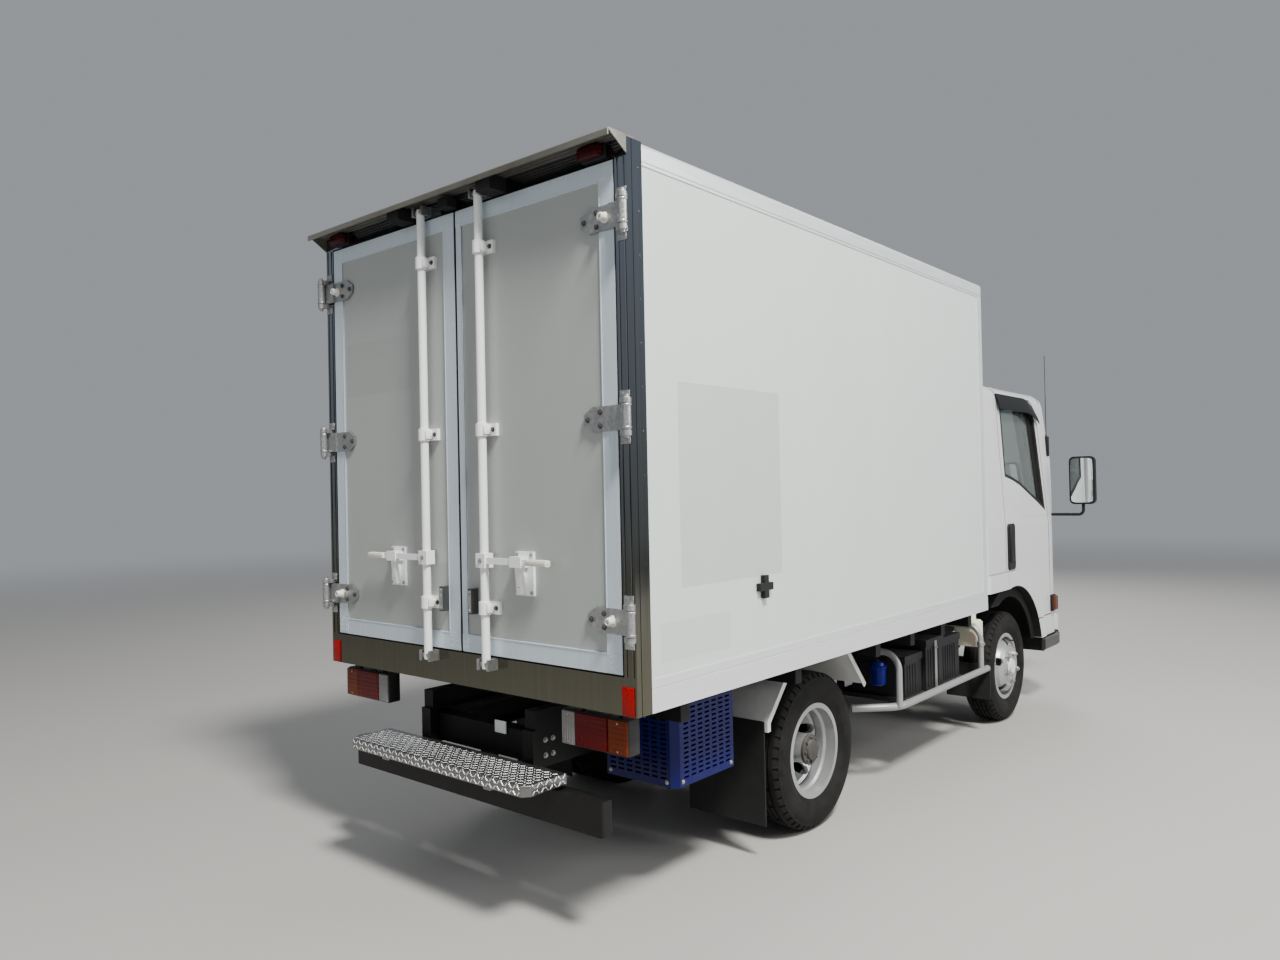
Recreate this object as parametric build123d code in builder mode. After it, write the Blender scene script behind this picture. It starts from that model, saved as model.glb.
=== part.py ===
"""Refrigerated truck: cab-over light truck with an insulated box body and two rear doors.

X runs forward, Y to the left and Z up, in millimetres. The origin is on the ground,
at the middle of the vehicle's length and width. The truck stands level and empty.
"""
import os
from math import cos, pi, radians, sin, sqrt
from build123d import *

os.makedirs("parts", exist_ok=True)

# Driving dimensions, measured forward from the rear face of the box
box_length = 3280
rear_axle_at = 1480
wheelbase = 2540
cab_back_at = 3500
cab_length = 1600
bumper_reach = 34
step_reach = 165

overall_length = step_reach + cab_back_at + cab_length + bumper_reach
rear_x = step_reach - overall_length / 2
rear_axle_x = rear_x + rear_axle_at
front_axle_x = rear_axle_x + wheelbase
cab_back_x = rear_x + cab_back_at
cab_front_x = cab_back_x + cab_length
box_front_x = rear_x + box_length

# Box body
box_width = 1880
box_base_z = 838
box_top_z = 2816
wall = 75
skin_step = 3
floor_depth = 125
roof_depth = 85
frame_depth = 80
post_width = 56
header_z = 2757
sill_z = 970
seal_gap = 7
bottom_rail_depth = 117
top_rail_depth = 80
front_post_length = 60
half_box = box_width / 2
half_opening = half_box - post_width
top_rail_z = box_top_z - top_rail_depth

# Box doors, which meet a little right of the middle
door_depth = 75
meeting_y = -14
half_meeting_gap = 7
door_inset = 4
door_edging = 70
door_base_z = sill_z + seal_gap
door_top_z = header_z - seal_gap
door_outer_y = half_opening - seal_gap
barrel_offset = 28
barrel_y = half_box + 2
barrel_radius = 16
barrel_height = 88
hinge_pin_radius = 6
pin_clearance = 0.3
strap_gauge = 6
strap_gap = 6
strap_tip_y = 722
strap_tip_height = 36
lock_bar_radius = 17
lock_bar_offset = 30
lock_bar_inset = 183
lock_bar_foot_z = 935
lock_bar_top_z = 2784
hinge_heights = (1160, 1860, 2555)
guide_heights = (1165, 1856, 2567)
handle_z = 1350

# Chassis
rail_outer_y = 350
rail_flange = 60
rail_base_z = 540
rail_depth = 150
rail_web = 8
rail_start_at = 110
rail_end_at = 4880
rail_inner_y = rail_outer_y - rail_flange
rail_top_z = rail_base_z + rail_depth
bearer_depth = 100
bearer_base_z = box_base_z - bearer_depth

# Wheels
tyre_radius = 366
tyre_width = 195
tyre_flats = 40
bead_radius = 205
flange_radius = 220
rim_width = 152
rim_gauge = 7
disc_offset = 108
disc_gauge = 10
front_track = 1410
rear_outer_y = 687
twin_spacing = 216
axle_z = tyre_radius
kingpin_y = 560
spindle_radius = 24
bearing_clearance = 0.5

# Cab
cab_width = 1695
cab_skin = 40
door_skin = 45
shut_gap = 9
belt_z = 1310
roof_z = 2320
roof_edge_z = 2245
roof_half = 793
cab_tail_z = 900
well_z = 490
arch_radius = 545
flare_height = 105
flare_proud = 14
panel_foot_z = 620
screen_foot_z = 1290
half_cab = cab_width / 2
tilt_x = cab_back_x + 1430
tilt_z = 740
door_rear_x = cab_back_x + 400
door_front_x = cab_back_x + 1300
door_foot_z = 640
platform_z = 1170
platform_front_x = cab_back_x + 970
tunnel_half = 440
tunnel_z = 780

sides = ((1, "left"), (-1, "right"))


def at(distance):
    """The X of a distance forward of the box's rear face."""
    return rear_x + distance


def block(xs, ys, zs, mode=Mode.ADD):
    """A rectangular block between pairs of coordinates, inside the part being built."""
    centre = tuple((pair[0] + pair[1]) / 2 for pair in (xs, ys, zs))
    size = [abs(pair[1] - pair[0]) for pair in (xs, ys, zs)]
    with Locations(centre):
        Box(*size, mode=mode)


def rod(start, end, radius, mode=Mode.ADD):
    """A round bar between two points, inside the part being built."""
    span = Vector(*end) - Vector(*start)
    middle = (Vector(*end) + Vector(*start)) * 0.5
    with Locations(Plane(origin=middle, z_dir=span.normalized())):
        Cylinder(radius, span.length, mode=mode)


def seen_from_side(y, x=0, z=0):
    """A sketch plane whose axes are X and Z; an extrusion from it runs towards -Y."""
    return Plane(origin=(x, y, z), x_dir=(1, 0, 0), z_dir=(0, -1, 0))


def keep(piece, label):
    """Name a finished piece and write it."""
    piece.label = label
    export_step(piece, f"parts/{label}.step")


def cab_plan(grow, base_z):
    """The cab's outline seen from above, drawn out by an amount, as a face at a height."""
    nose_bow = 45
    nose_corner = 215
    tail_corner = 70
    side_front_x = cab_front_x - nose_bow
    with BuildSketch(Plane.XY.offset(base_z)) as plan:
        with BuildLine():
            Polyline((side_front_x, -half_cab), (cab_back_x, -half_cab), (cab_back_x, half_cab),
                     (side_front_x, half_cab))
            ThreePointArc((side_front_x, half_cab), (cab_front_x, 0), (side_front_x, -half_cab))
        make_face()
        fillet(plan.vertices().group_by(Axis.X)[-1], nose_corner)
        fillet(plan.vertices().group_by(Axis.X)[0], tail_corner)
        if grow:
            offset(amount=grow, mode=Mode.REPLACE)
    return plan.sketch


# Front bumper: a shell that follows the cab's plan, lower beside the wheels than across the front
bumper_base_z = 400
bumper_depth = 205
bumper_gauge = 26
bumper_tail_x = cab_front_x - 540
bumper_face_x = cab_front_x - 110
bumper_side_z = well_z - 10
intake_half = 330
intake_base_z = 435
intake_top_z = 515
fog_lamp_y = 560
fog_lamp_radius = 42
with BuildPart() as bumper_hollow:
    add(cab_plan(bumper_reach - bumper_gauge, bumper_base_z - 10))
    extrude(amount=bumper_depth + 20)
with BuildPart() as front_bumper:
    add(cab_plan(bumper_reach, bumper_base_z))
    extrude(amount=bumper_depth)
    chamfer(front_bumper.faces().sort_by(Axis.Z)[0].edges(), length=12)
    add(bumper_hollow.part, mode=Mode.SUBTRACT)
    block((cab_back_x - 200, bumper_tail_x), (-cab_width, cab_width),
          (bumper_base_z - 10, bumper_base_z + bumper_depth + 10), mode=Mode.SUBTRACT)
    block((bumper_tail_x - 10, bumper_face_x), (-cab_width, cab_width),
          (bumper_side_z, bumper_base_z + bumper_depth + 10), mode=Mode.SUBTRACT)
    block((bumper_face_x, cab_front_x + 2 * bumper_reach), (-intake_half, intake_half),
          (intake_base_z, intake_top_z), mode=Mode.SUBTRACT)
    for side in (1, -1):
        rod((bumper_face_x, side * fog_lamp_y, (intake_base_z + intake_top_z) / 2),
            (cab_front_x + 2 * bumper_reach, side * fog_lamp_y, (intake_base_z + intake_top_z) / 2),
            fog_lamp_radius, mode=Mode.SUBTRACT)
keep(front_bumper.part, "front_bumper")

# Chassis frame: two channel rails, their cross members, cab pivots and tow eyes
cross_member_at = (150, 900, 2150, 2700, 3110, 4800)
cross_member_length = 70
cross_member_drop = 25
bracket_base_z = 460
tow_eye_z = 500
tow_eye_radius = 16
rear_eye_gauge = 30
front_eye_x = cab_front_x - 60
front_eye_y = rail_outer_y - rail_flange / 2
rear_eye_x = at(rail_start_at + cross_member_length / 2)
with BuildPart() as chassis_frame:
    for side in (1, -1):
        block((at(rail_start_at), at(rail_end_at)), (side * rail_inner_y, side * rail_outer_y),
              (rail_base_z, rail_top_z))
        block((at(rail_start_at) - 1, at(rail_end_at) + 1),
              (side * (rail_inner_y - 1), side * (rail_outer_y - rail_web)),
              (rail_base_z + rail_web, rail_top_z - rail_web), mode=Mode.SUBTRACT)
    for place in cross_member_at:
        block((at(place) - cross_member_length / 2, at(place) + cross_member_length / 2),
              (rail_web - rail_outer_y, rail_outer_y - rail_web),
              (rail_base_z + rail_web, rail_top_z - cross_member_drop))
    for side in (1, -1):
        block((at(rail_end_at) - 60, cab_front_x + bumper_reach - bumper_gauge),
              (side * rail_inner_y, side * rail_outer_y), (bracket_base_z, rail_base_z))
        block((tilt_x - 110, tilt_x + 30), (side * rail_inner_y, side * (rail_outer_y - 30)),
              (rail_top_z, tilt_z + 30))
        rod((front_eye_x, side * front_eye_y, bracket_base_z - 5),
            (front_eye_x, side * front_eye_y, rail_base_z + rail_web + 5), tow_eye_radius, mode=Mode.SUBTRACT)
    add(front_bumper.part, mode=Mode.SUBTRACT)
    block((at(rail_start_at), at(rail_start_at) + cross_member_length),
          (-rear_eye_gauge / 2, rear_eye_gauge / 2),
          (bracket_base_z, rail_base_z + 20))
    rod((rear_eye_x, -rear_eye_gauge, tow_eye_z), (rear_eye_x, rear_eye_gauge, tow_eye_z), tow_eye_radius,
        mode=Mode.SUBTRACT)
keep(chassis_frame.part, "chassis_frame")

# Front axle: a forged beam, dropped between the eyes that hold the kingpins
beam_half = 30
beam_drop_y = 420
beam_drop = 60
kingpin_radius = 14
eye_radius = 34
eye_height = 80
with BuildPart() as front_axle:
    with BuildSketch(seen_from_side(beam_drop_y, front_axle_x, axle_z - beam_drop / 2)):
        Rectangle(2 * beam_half, beam_drop)
        with Locations((-beam_half, 0), (beam_half, 0)):
            Rectangle(beam_half, beam_drop / 2, mode=Mode.SUBTRACT)
    extrude(amount=2 * beam_drop_y)
    for side in (1, -1):
        block((front_axle_x - beam_half, front_axle_x + beam_half), (side * rail_inner_y, side * rail_outer_y),
              (axle_z - beam_drop, axle_z))
        block((front_axle_x - beam_half, front_axle_x + beam_half), (side * beam_drop_y, side * kingpin_y),
              (axle_z - beam_drop / 2, axle_z + beam_drop / 2))
        with Locations((front_axle_x, side * kingpin_y, axle_z)):
            Cylinder(eye_radius, eye_height)
            Cylinder(kingpin_radius + bearing_clearance, eye_height + 10, mode=Mode.SUBTRACT)
keep(front_axle.part, "front_axle")

# Rear axle: tapered tubes from the differential's housing out to the spindles
housing_radius = 150
housing_width = 190
tube_radius = 55
tube_end_y = 555
spindle_end_y = 700
rear_spindle_radius = 38
pad_height = 60
with BuildPart() as rear_axle:
    with BuildSketch(Plane(origin=(rear_axle_x, 0, axle_z), x_dir=(0, 1, 0), z_dir=(-1, 0, 0))):
        with BuildLine():
            Polyline((-spindle_end_y, 0), (-spindle_end_y, rear_spindle_radius),
                     (-tube_end_y, rear_spindle_radius), (-tube_end_y, tube_radius),
                     (-housing_width, tube_radius), (-housing_width / 2, housing_radius),
                     (housing_width / 2, housing_radius), (housing_width, tube_radius),
                     (tube_end_y, tube_radius),
                     (tube_end_y, rear_spindle_radius), (spindle_end_y, rear_spindle_radius),
                     (spindle_end_y, 0),
                     close=True)
        make_face()
    revolve(axis=Axis((rear_axle_x, 0, axle_z), (0, 1, 0)))
    with Locations(Location((rear_axle_x + housing_radius, 0, axle_z + 20), (0, 90, 0))):
        Cone(housing_radius - 40, tube_radius, housing_radius - 10)
    for side in (1, -1):
        block((rear_axle_x - tube_radius, rear_axle_x + tube_radius),
              (side * rail_inner_y, side * rail_outer_y),
              (axle_z + 10, axle_z + pad_height))
keep(rear_axle.part, "rear_axle")

# Leaf springs: leaves of one bend, shorter downwards, hung from the rails by eyes at both ends
spring_table = (
    # axle x, seat z, half length, rise to the eye
    (front_axle_x, axle_z, 520, 90),
    (rear_axle_x, axle_z + pad_height, 600, 30),
)
leaf_count = 4
leaf_gauge = 12
spring_eye_radius = 20
clamp_half = 60
clamp_gauge = 15
with BuildPart() as leaf_springs:
    for axle_x, seat_z, half_length, rise in spring_table:
        bend = (half_length**2 + rise**2) / (2 * rise)
        pack_z = seat_z + leaf_count * leaf_gauge
        eye_z = pack_z + rise
        for side in (1, -1):
            outer_y = rail_outer_y if side > 0 else -rail_inner_y
            for number in range(leaf_count):
                reach = half_length * (1 - number / (leaf_count + 1))
                tip = bend - sqrt(bend**2 - reach**2)
                with BuildSketch(seen_from_side(outer_y, axle_x, pack_z - (number + 1) * leaf_gauge)):
                    with BuildLine():
                        ThreePointArc((-reach, tip), (0, 0), (reach, tip))
                        Line((reach, tip), (reach, tip + leaf_gauge))
                        ThreePointArc((reach, tip + leaf_gauge), (0, leaf_gauge), (-reach, tip + leaf_gauge))
                        Line((-reach, tip + leaf_gauge), (-reach, tip))
                    make_face()
                extrude(amount=rail_flange)
            block((axle_x - clamp_half, axle_x + clamp_half), (side * rail_inner_y, side * rail_outer_y),
                  (pack_z - 1, pack_z + clamp_gauge))
            for end in (-half_length, half_length):
                rod((axle_x + end, side * rail_inner_y, eye_z), (axle_x + end, side * rail_outer_y, eye_z),
                    spring_eye_radius)
                block((axle_x + end - 14, axle_x + end + 14), (side * rail_inner_y, side * rail_outer_y),
                      (eye_z, rail_base_z))
keep(leaf_springs.part, "leaf_springs")

# Engine, as one plain block under the seats
engine_x = (cab_back_x + 160, cab_back_x + 860)
engine_half = 280
engine_z = (430, 1060)
with BuildPart() as engine:
    block(engine_x, (-engine_half, engine_half), engine_z)
keep(engine.part, "engine")

# Gearbox behind the engine, and the propeller shaft down to the rear axle's nose
gearbox_length = 490
gearbox_half = 150
shaft_radius = 38
shaft_z = 500
gearbox_tail_x = engine_x[0] - gearbox_length
shaft_tail_x = rear_axle_x + housing_radius + 60
with BuildPart() as driveline:
    block((gearbox_tail_x, engine_x[0]), (-gearbox_half, gearbox_half), (engine_z[0], rail_top_z))
    fillet(driveline.edges().filter_by(Axis.X), 50)
    rod((gearbox_tail_x, 0, shaft_z), (shaft_tail_x, 0, axle_z + 20), shaft_radius)
    add(rear_axle.part, mode=Mode.SUBTRACT)
keep(driveline.part, "driveline")

# Exhaust: down pipe inside the frame, silencer beside it, tail pipe out behind the tank
pipe_radius = 25
silencer_at = (2060, 2490)
silencer_y = 450
silencer_z = 520
silencer_radius = 85
pipe_z = engine_z[0] + 50
pipe_y = 220
tail_pipe_at = 1965
tail_pipe_end_y = 760
exhaust_routes = (
    ((engine_x[0], pipe_y, pipe_z), (at(2760), pipe_y, pipe_z), (at(2540), silencer_y - 40, pipe_z + 20),
     (at(silencer_at[1] - 10), silencer_y - 40, pipe_z + 20)),
    ((at(silencer_at[0] + 10), silencer_y, pipe_z + 20), (at(tail_pipe_at), silencer_y, pipe_z + 10),
     (at(tail_pipe_at), tail_pipe_end_y, pipe_z)),
)
with BuildPart() as exhaust:
    rod((at(silencer_at[0]), silencer_y, silencer_z), (at(silencer_at[1]), silencer_y, silencer_z),
        silencer_radius)
    for route in exhaust_routes:
        with BuildLine() as pipe_line:
            FilletPolyline(*route, radius=30)
        with BuildSketch(Plane(origin=pipe_line.line @ 0, z_dir=pipe_line.line % 0)):
            Circle(pipe_radius)
        sweep(path=pipe_line.line)
    for place in silencer_at:
        hanger_x = at(place + 60) if place == silencer_at[0] else at(place - 60)
        block((hanger_x - 15, hanger_x + 15), (rail_outer_y, silencer_y), (silencer_z + 50, silencer_z + 120))
keep(exhaust.part, "exhaust")

# Fuel tank on the left, held to the rail by two bands
tank_at = (2560, 3250)
tank_y = (460, 790)
tank_z = (420, 720)
tank_corner = 60
band_at = (2700, 3110)
band_width = 50
band_gauge = 4
tank_middle = ((tank_y[0] + tank_y[1]) / 2, (tank_z[0] + tank_z[1]) / 2)
tank_size = (tank_y[1] - tank_y[0], tank_z[1] - tank_z[0])
with BuildPart() as fuel_tank:
    with BuildSketch(Plane.YZ.offset(at(tank_at[0]))):
        with Locations(tank_middle):
            RectangleRounded(*tank_size, tank_corner)
    extrude(amount=tank_at[1] - tank_at[0])
    for place in band_at:
        with BuildSketch(Plane.YZ.offset(at(place) - band_width / 2)):
            with Locations(tank_middle):
                RectangleRounded(tank_size[0] + 2 * band_gauge, tank_size[1] + 2 * band_gauge,
                                 tank_corner + band_gauge)
        extrude(amount=band_width)
        block((at(place) - band_width / 2, at(place) + band_width / 2), (rail_outer_y, tank_y[0]),
              (tank_middle[1] + 30, tank_z[1] - 40))
    with Locations((at(tank_at[1]) - 70, tank_y[1] - 90, tank_z[1])):
        Cylinder(32, 36, align=(Align.CENTER, Align.CENTER, Align.MIN))
keep(fuel_tank.part, "fuel_tank")

# Battery tray on the right with three lidded boxes
tray_at = (2460, 3280)
tray_z = (400, 425)
tray_outer_y = 790
box_inner_y = 440
lid_proud = 6
lid_depth = 40
battery_table = (
    # start, end, outer y, top z
    (2480, 2700, 760, 655),
    (2720, 2960, 780, 715),
    (2980, 3260, 760, 690),
)
with BuildPart() as battery_box:
    block((at(tray_at[0]), at(tray_at[1])), (-tray_outer_y, -rail_outer_y), tray_z)
    for end in tray_at:
        arm_x = at(end) + (0 if end == tray_at[0] else -20)
        block((arm_x, arm_x + 20), (-rail_outer_y - 40, -rail_outer_y), (tray_z[1], rail_top_z - 20))
    for start, end, outer_y, top_z in battery_table:
        block((at(start), at(end)), (-outer_y, -box_inner_y), (tray_z[1], top_z))
        block((at(start) - lid_proud, at(end) + lid_proud), (-outer_y - lid_proud, -box_inner_y + lid_proud),
              (top_z - lid_depth, top_z))
keep(battery_box.part, "battery_box")

# Tubular side guards: a low rail that turns in behind, on two bent posts, with a plate for the tank in front
guard_y = 830
guard_z = 430
guard_radius = 20
guard_post_radius = 17
guard_bend = 170
post_bend = 90
guard_arm_z = (rail_top_z + bearer_base_z) / 2
guard_tail = (2080, 640)
guard_end_at = 3545
guard_posts_at = (2260, 3440)
reservoir_at = (3480, 3580)
reservoir_y = (640, 800)
with BuildPart() as side_guards:
    for side in (1, -1):
        with BuildLine() as rail_line:
            FilletPolyline((at(guard_tail[0]), side * guard_tail[1], guard_z),
                           (at(guard_posts_at[0]), side * guard_y, guard_z),
                           (at(guard_end_at), side * guard_y, guard_z), radius=guard_bend)
        with BuildSketch(Plane(origin=rail_line.line @ 0, z_dir=rail_line.line % 0)):
            Circle(guard_radius)
        sweep(path=rail_line.line)
        for place in guard_posts_at:
            with BuildLine() as post_line:
                FilletPolyline((at(place), side * guard_y, guard_z), (at(place), side * guard_y, guard_arm_z),
                               (at(place), side * rail_outer_y, guard_arm_z), radius=post_bend)
            with BuildSketch(Plane(origin=post_line.line @ 0, z_dir=post_line.line % 0)):
                Circle(guard_post_radius)
            sweep(path=post_line.line)
    block((at(guard_posts_at[1]), at(reservoir_at[0])), (40 - reservoir_y[1], -40 - reservoir_y[0]),
          (guard_arm_z - 20, guard_arm_z + 10))
keep(side_guards.part, "side_guards")

# Pale plastic reservoir behind the right front wheel: a waisted bottle with a screw cap
reservoir_z = (570, 735)
with BuildPart() as reservoir:
    with BuildSketch(Plane.XY.offset(reservoir_z[0])):
        with Locations(((at(reservoir_at[0]) + at(reservoir_at[1])) / 2,
                        -(reservoir_y[0] + reservoir_y[1]) / 2)):
            RectangleRounded(reservoir_at[1] - reservoir_at[0], reservoir_y[1] - reservoir_y[0], 22)
    extrude(amount=reservoir_z[1] - reservoir_z[0])
    chamfer(reservoir.faces().sort_by(Axis.Z)[-1].edges(), length=14)
    with Locations(((at(reservoir_at[0]) + at(reservoir_at[1])) / 2,
                    -(reservoir_y[0] + reservoir_y[1]) / 2 - 20,
                    reservoir_z[1])):
        Cylinder(28, 40, align=(Align.CENTER, Align.CENTER, Align.MIN))
keep(reservoir.part, "reservoir")

# Rear underrun bar, a box section on two plates under the frame
underrun_half = 760
underrun_z = (390, 515)
with BuildPart() as underrun_bar:
    block((at(5), at(65)), (-underrun_half, underrun_half), underrun_z)
    fillet(underrun_bar.edges().filter_by(Axis.Z), 12)
    for side in (1, -1):
        block((at(65), at(rail_start_at)), (side * rail_inner_y, side * rail_outer_y),
              (underrun_z[0] + 10, rail_top_z))
keep(underrun_bar.part, "underrun_bar")

# Rear step: tread plate folded down all round, with clipped corners, on two arms
step_half = 555
step_inner_x = at(45)
step_top_z = 575
step_skirt = 43
step_gauge = 3
step_clip = 26
with BuildPart() as rear_step:
    with BuildSketch(Plane.XY.offset(step_top_z - step_skirt)) as step_plan:
        with Locations(((rear_x - step_reach + step_inner_x) / 2, 0)):
            Rectangle(step_inner_x - rear_x + step_reach, 2 * step_half)
        chamfer(step_plan.vertices().group_by(Axis.X)[0], length=step_clip)
    extrude(amount=step_skirt)
    with BuildSketch(Plane.XY.offset(step_top_z - step_skirt - 1)):
        add(step_plan.sketch.faces()[0].moved(Location((0, 0, -1))))
        offset(amount=-step_gauge, mode=Mode.REPLACE)
    extrude(amount=step_skirt + 1 - step_gauge, mode=Mode.SUBTRACT)
    for side in (1, -1):
        block((rear_x - step_reach + 20, step_inner_x),
              (side * (rail_inner_y + 10), side * (rail_outer_y - 10)),
              (underrun_z[1], step_top_z - step_gauge))
keep(rear_step.part, "rear_step")

# Tail lamps and marker lamps: (start, end, inner y, outer y, foot z, top z) of each block
lamp_table = (
    (31, 95, 545, 870, 684, 814),
    (25, 31, 547, 613, 688, 810),
    (25, 31, 617, 773, 688, 810),
    (25, 31, 777, 868, 688, 810),
    (40, 60, 600, 640, 814, 838),
    (40, 60, 780, 820, 814, 838),
    (-45, 0, 740, 850, 2763, 2812),
    (-6, 0, 873, 930, 838, 940),
)
with BuildPart() as rear_lamps:
    for start, end, inner_y, outer_y, foot_z, top_z in lamp_table:
        for side in (1, -1):
            block((at(start), at(end)), (side * inner_y, side * outer_y), (foot_z, top_z))
keep(rear_lamps.part, "rear_lamps")

# Refrigeration condenser under the right rear corner: a folded case with slotted sides round a coil
case_at = (440, 830)
case_y = (-750, -390)
case_z = (447, 838)
case_gauge = 4
case_clip = 28
slot_size = (30, 8)
slot_columns = 7
slot_rows = 18
slot_rise = 19
coil_at = (490, 560)


def case_form(inset):
    """The case as a solid with its rear outer corner clipped, drawn in by an amount."""
    with BuildPart() as form:
        with BuildSketch(Plane.XY.offset(case_z[0] + inset)):
            with BuildLine():
                Polyline((at(case_at[0]) + case_clip, case_y[0]), (at(case_at[1]), case_y[0]),
                         (at(case_at[1]), case_y[1]), (at(case_at[0]), case_y[1]),
                         (at(case_at[0]), case_y[0] + case_clip), close=True)
            make_face()
            if inset:
                offset(amount=-inset, mode=Mode.REPLACE)
        extrude(amount=case_z[1] - case_z[0] - 2 * inset)
    return form.part


slotted_faces = (
    # middle of the face, along it, into it, column pitch
    ((at(case_at[0]) - 1, (case_y[0] + case_clip + case_y[1]) / 2), (0, 1, 0), (1, 0, 0), 44),
    (((at(case_at[0]) + case_clip + at(case_at[1])) / 2, case_y[0] - 1), (1, 0, 0), (0, 1, 0), 47),
)
with BuildPart() as condenser_unit:
    add(case_form(0))
    add(case_form(case_gauge), mode=Mode.SUBTRACT)
    for middle, along, inward, pitch in slotted_faces:
        with BuildSketch(Plane(origin=(*middle, (case_z[0] + case_z[1]) / 2), x_dir=along, z_dir=inward)):
            with GridLocations(pitch, slot_rise, slot_columns, slot_rows):
                Rectangle(*slot_size)
        extrude(amount=case_gauge + 2, mode=Mode.SUBTRACT)
    block((at(coil_at[0]), at(coil_at[1])), (case_y[0] + 60, case_y[1]), case_z)
keep(condenser_unit.part, "condenser_unit")

# Rear mudguards: folded sheet over the twin wheels with a lip outside, hung from the floor
guard_fold = ((-470, 555), (-470, 600), (-265, 820), (265, 820), (450, 610))
guard_inner_y = 365
guard_outer_y = 805
guard_strips = (
    # depth, inner y
    (5, guard_inner_y),
    (25, guard_outer_y - 5),
)
stringer_half = 200
with BuildPart() as rear_mudguards:
    for side in (1, -1):
        for depth, inner_y in guard_strips:
            with BuildSketch(seen_from_side(side * inner_y, rear_axle_x)):
                with BuildLine():
                    Polyline(*guard_fold)
                    offset(amount=depth, side=Side.RIGHT)
                make_face()
            extrude(amount=-side * (guard_outer_y - inner_y))
        for inner_y in (guard_inner_y + 35, guard_outer_y - 45):
            block((rear_axle_x - stringer_half, rear_axle_x + stringer_half),
                  (side * inner_y, side * (inner_y + 40)), (guard_fold[2][1], box_base_z))
keep(rear_mudguards.part, "rear_mudguards")

# Rubber mud flaps behind the wheels: (rear face, depth, inner y, outer y, foot z, top z)
flap_table = (
    (rear_axle_x + guard_fold[0][0] - 8, 8, 380, 790, 150, 600),
    (at(guard_end_at), 8, 560, 845, 230, 450),
)
with BuildPart() as mud_flaps:
    for flap_x, depth, inner_y, outer_y, foot_z, top_z in flap_table:
        for side in (1, -1):
            block((flap_x, flap_x + depth), (side * inner_y, side * outer_y), (foot_z, top_z))
keep(mud_flaps.part, "mud_flaps")


def cab_tube(inset):
    """The cab's plan and front view as one solid, open-ended below, drawn in by an amount."""
    with BuildPart() as tube:
        add(cab_plan(-inset, 300))
        extrude(amount=2200)
        with BuildSketch(Plane.YZ.offset(cab_back_x - 100)) as front_view:
            with BuildLine():
                Polyline((roof_half, roof_edge_z), (half_cab, belt_z), (half_cab, 300), (-half_cab, 300),
                         (-half_cab, belt_z), (-roof_half, roof_edge_z))
                ThreePointArc((-roof_half, roof_edge_z), (0, roof_z + 5), (roof_half, roof_edge_z))
            make_face()
            fillet(front_view.vertices().group_by(Axis.Y)[-1], 90)
            if inset:
                offset(amount=-inset, kind=Kind.INTERSECTION, mode=Mode.REPLACE)
        extrude(amount=cab_length + 300, mode=Mode.INTERSECT)
    return tube.part


def cab_form(inset):
    """The cab's solid form round its wheel arches, drawn in from its outside by an amount."""
    arch_front = sqrt(arch_radius**2 - (well_z - axle_z)**2)
    arch_rear = sqrt(arch_radius**2 - (cab_tail_z - axle_z)**2)
    arch_turn = radians(57)
    with BuildPart() as form:
        with BuildSketch(Plane.XZ):
            with BuildLine():
                FilletPolyline((front_axle_x - arch_rear, cab_tail_z), (cab_back_x, cab_tail_z),
                               (cab_back_x, roof_z - 25), (cab_back_x + 600, roof_z),
                               (cab_front_x - 250, roof_z - 70), (cab_front_x - 25, screen_foot_z),
                               (cab_front_x, 1000), (cab_front_x - 35, panel_foot_z),
                               (cab_front_x - 120, well_z),
                               (front_axle_x + arch_front, well_z), radius=(20, 70, 400, 150, 120, 200, 60, 30))
                ThreePointArc((front_axle_x + arch_front, well_z),
                              (front_axle_x + arch_radius * cos(arch_turn),
                               axle_z + arch_radius * sin(arch_turn)),
                              (front_axle_x - arch_rear, cab_tail_z))
            make_face()
            if inset:
                offset(amount=-inset, kind=Kind.INTERSECTION, mode=Mode.REPLACE)
        extrude(amount=cab_width, both=True)
        add(cab_tube(inset), mode=Mode.INTERSECT)
    return form.part


def side_prism(outline, grow):
    """An outline seen from the side, swept through the cab from wall to wall."""
    with BuildPart() as prism:
        with BuildSketch(Plane.XZ):
            with BuildLine():
                Polyline(*outline, close=True)
            make_face()
            if grow:
                offset(amount=grow, kind=Kind.INTERSECTION, mode=Mode.REPLACE)
        extrude(amount=cab_width, both=True)
    return prism.part


def front_prism(outlines, start_x, length):
    """Outlines seen from the front, swept forward from a place."""
    with BuildPart() as prism:
        with BuildSketch(Plane.YZ.offset(start_x)):
            for outline in outlines:
                with BuildLine():
                    Polyline(*outline, close=True)
                make_face()
        extrude(amount=length)
    return prism.part


door_outline = (
    (door_rear_x, door_foot_z), (door_rear_x, roof_edge_z - 50), (door_front_x - 200, roof_edge_z - 50),
    (door_front_x - 90, roof_edge_z - 130), (door_front_x, belt_z), (door_front_x, door_foot_z),
)
window_outline = (
    (door_rear_x + 55, 1650), (door_rear_x + 55, roof_edge_z - 105),
    (door_front_x - 215, roof_edge_z - 105), (door_front_x - 135, roof_edge_z - 175),
    (door_front_x - 50, 1400), (door_front_x - 200, 1460), (door_front_x - 560, 1590),
    (door_front_x - 700, 1625),
)
screen_outlines = (((-700, screen_foot_z + 30), (-655, roof_edge_z - 80), (655, roof_edge_z - 80),
                    (700, screen_foot_z + 30)),)
lamp_outlines = tuple(((side * 560, 745), (side * 560, 890), (side * 845, 930), (side * 845, 760))
                      for side in (1, -1))
grille_outlines = (((-470, 760), (-500, 900), (500, 900), (470, 760)),)
rear_window_half = 560
rear_window_z = (1420, 1940)
front_panel = (cab_front_x - 200, 400)
screen_reach = (cab_front_x - 420, 500)

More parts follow.
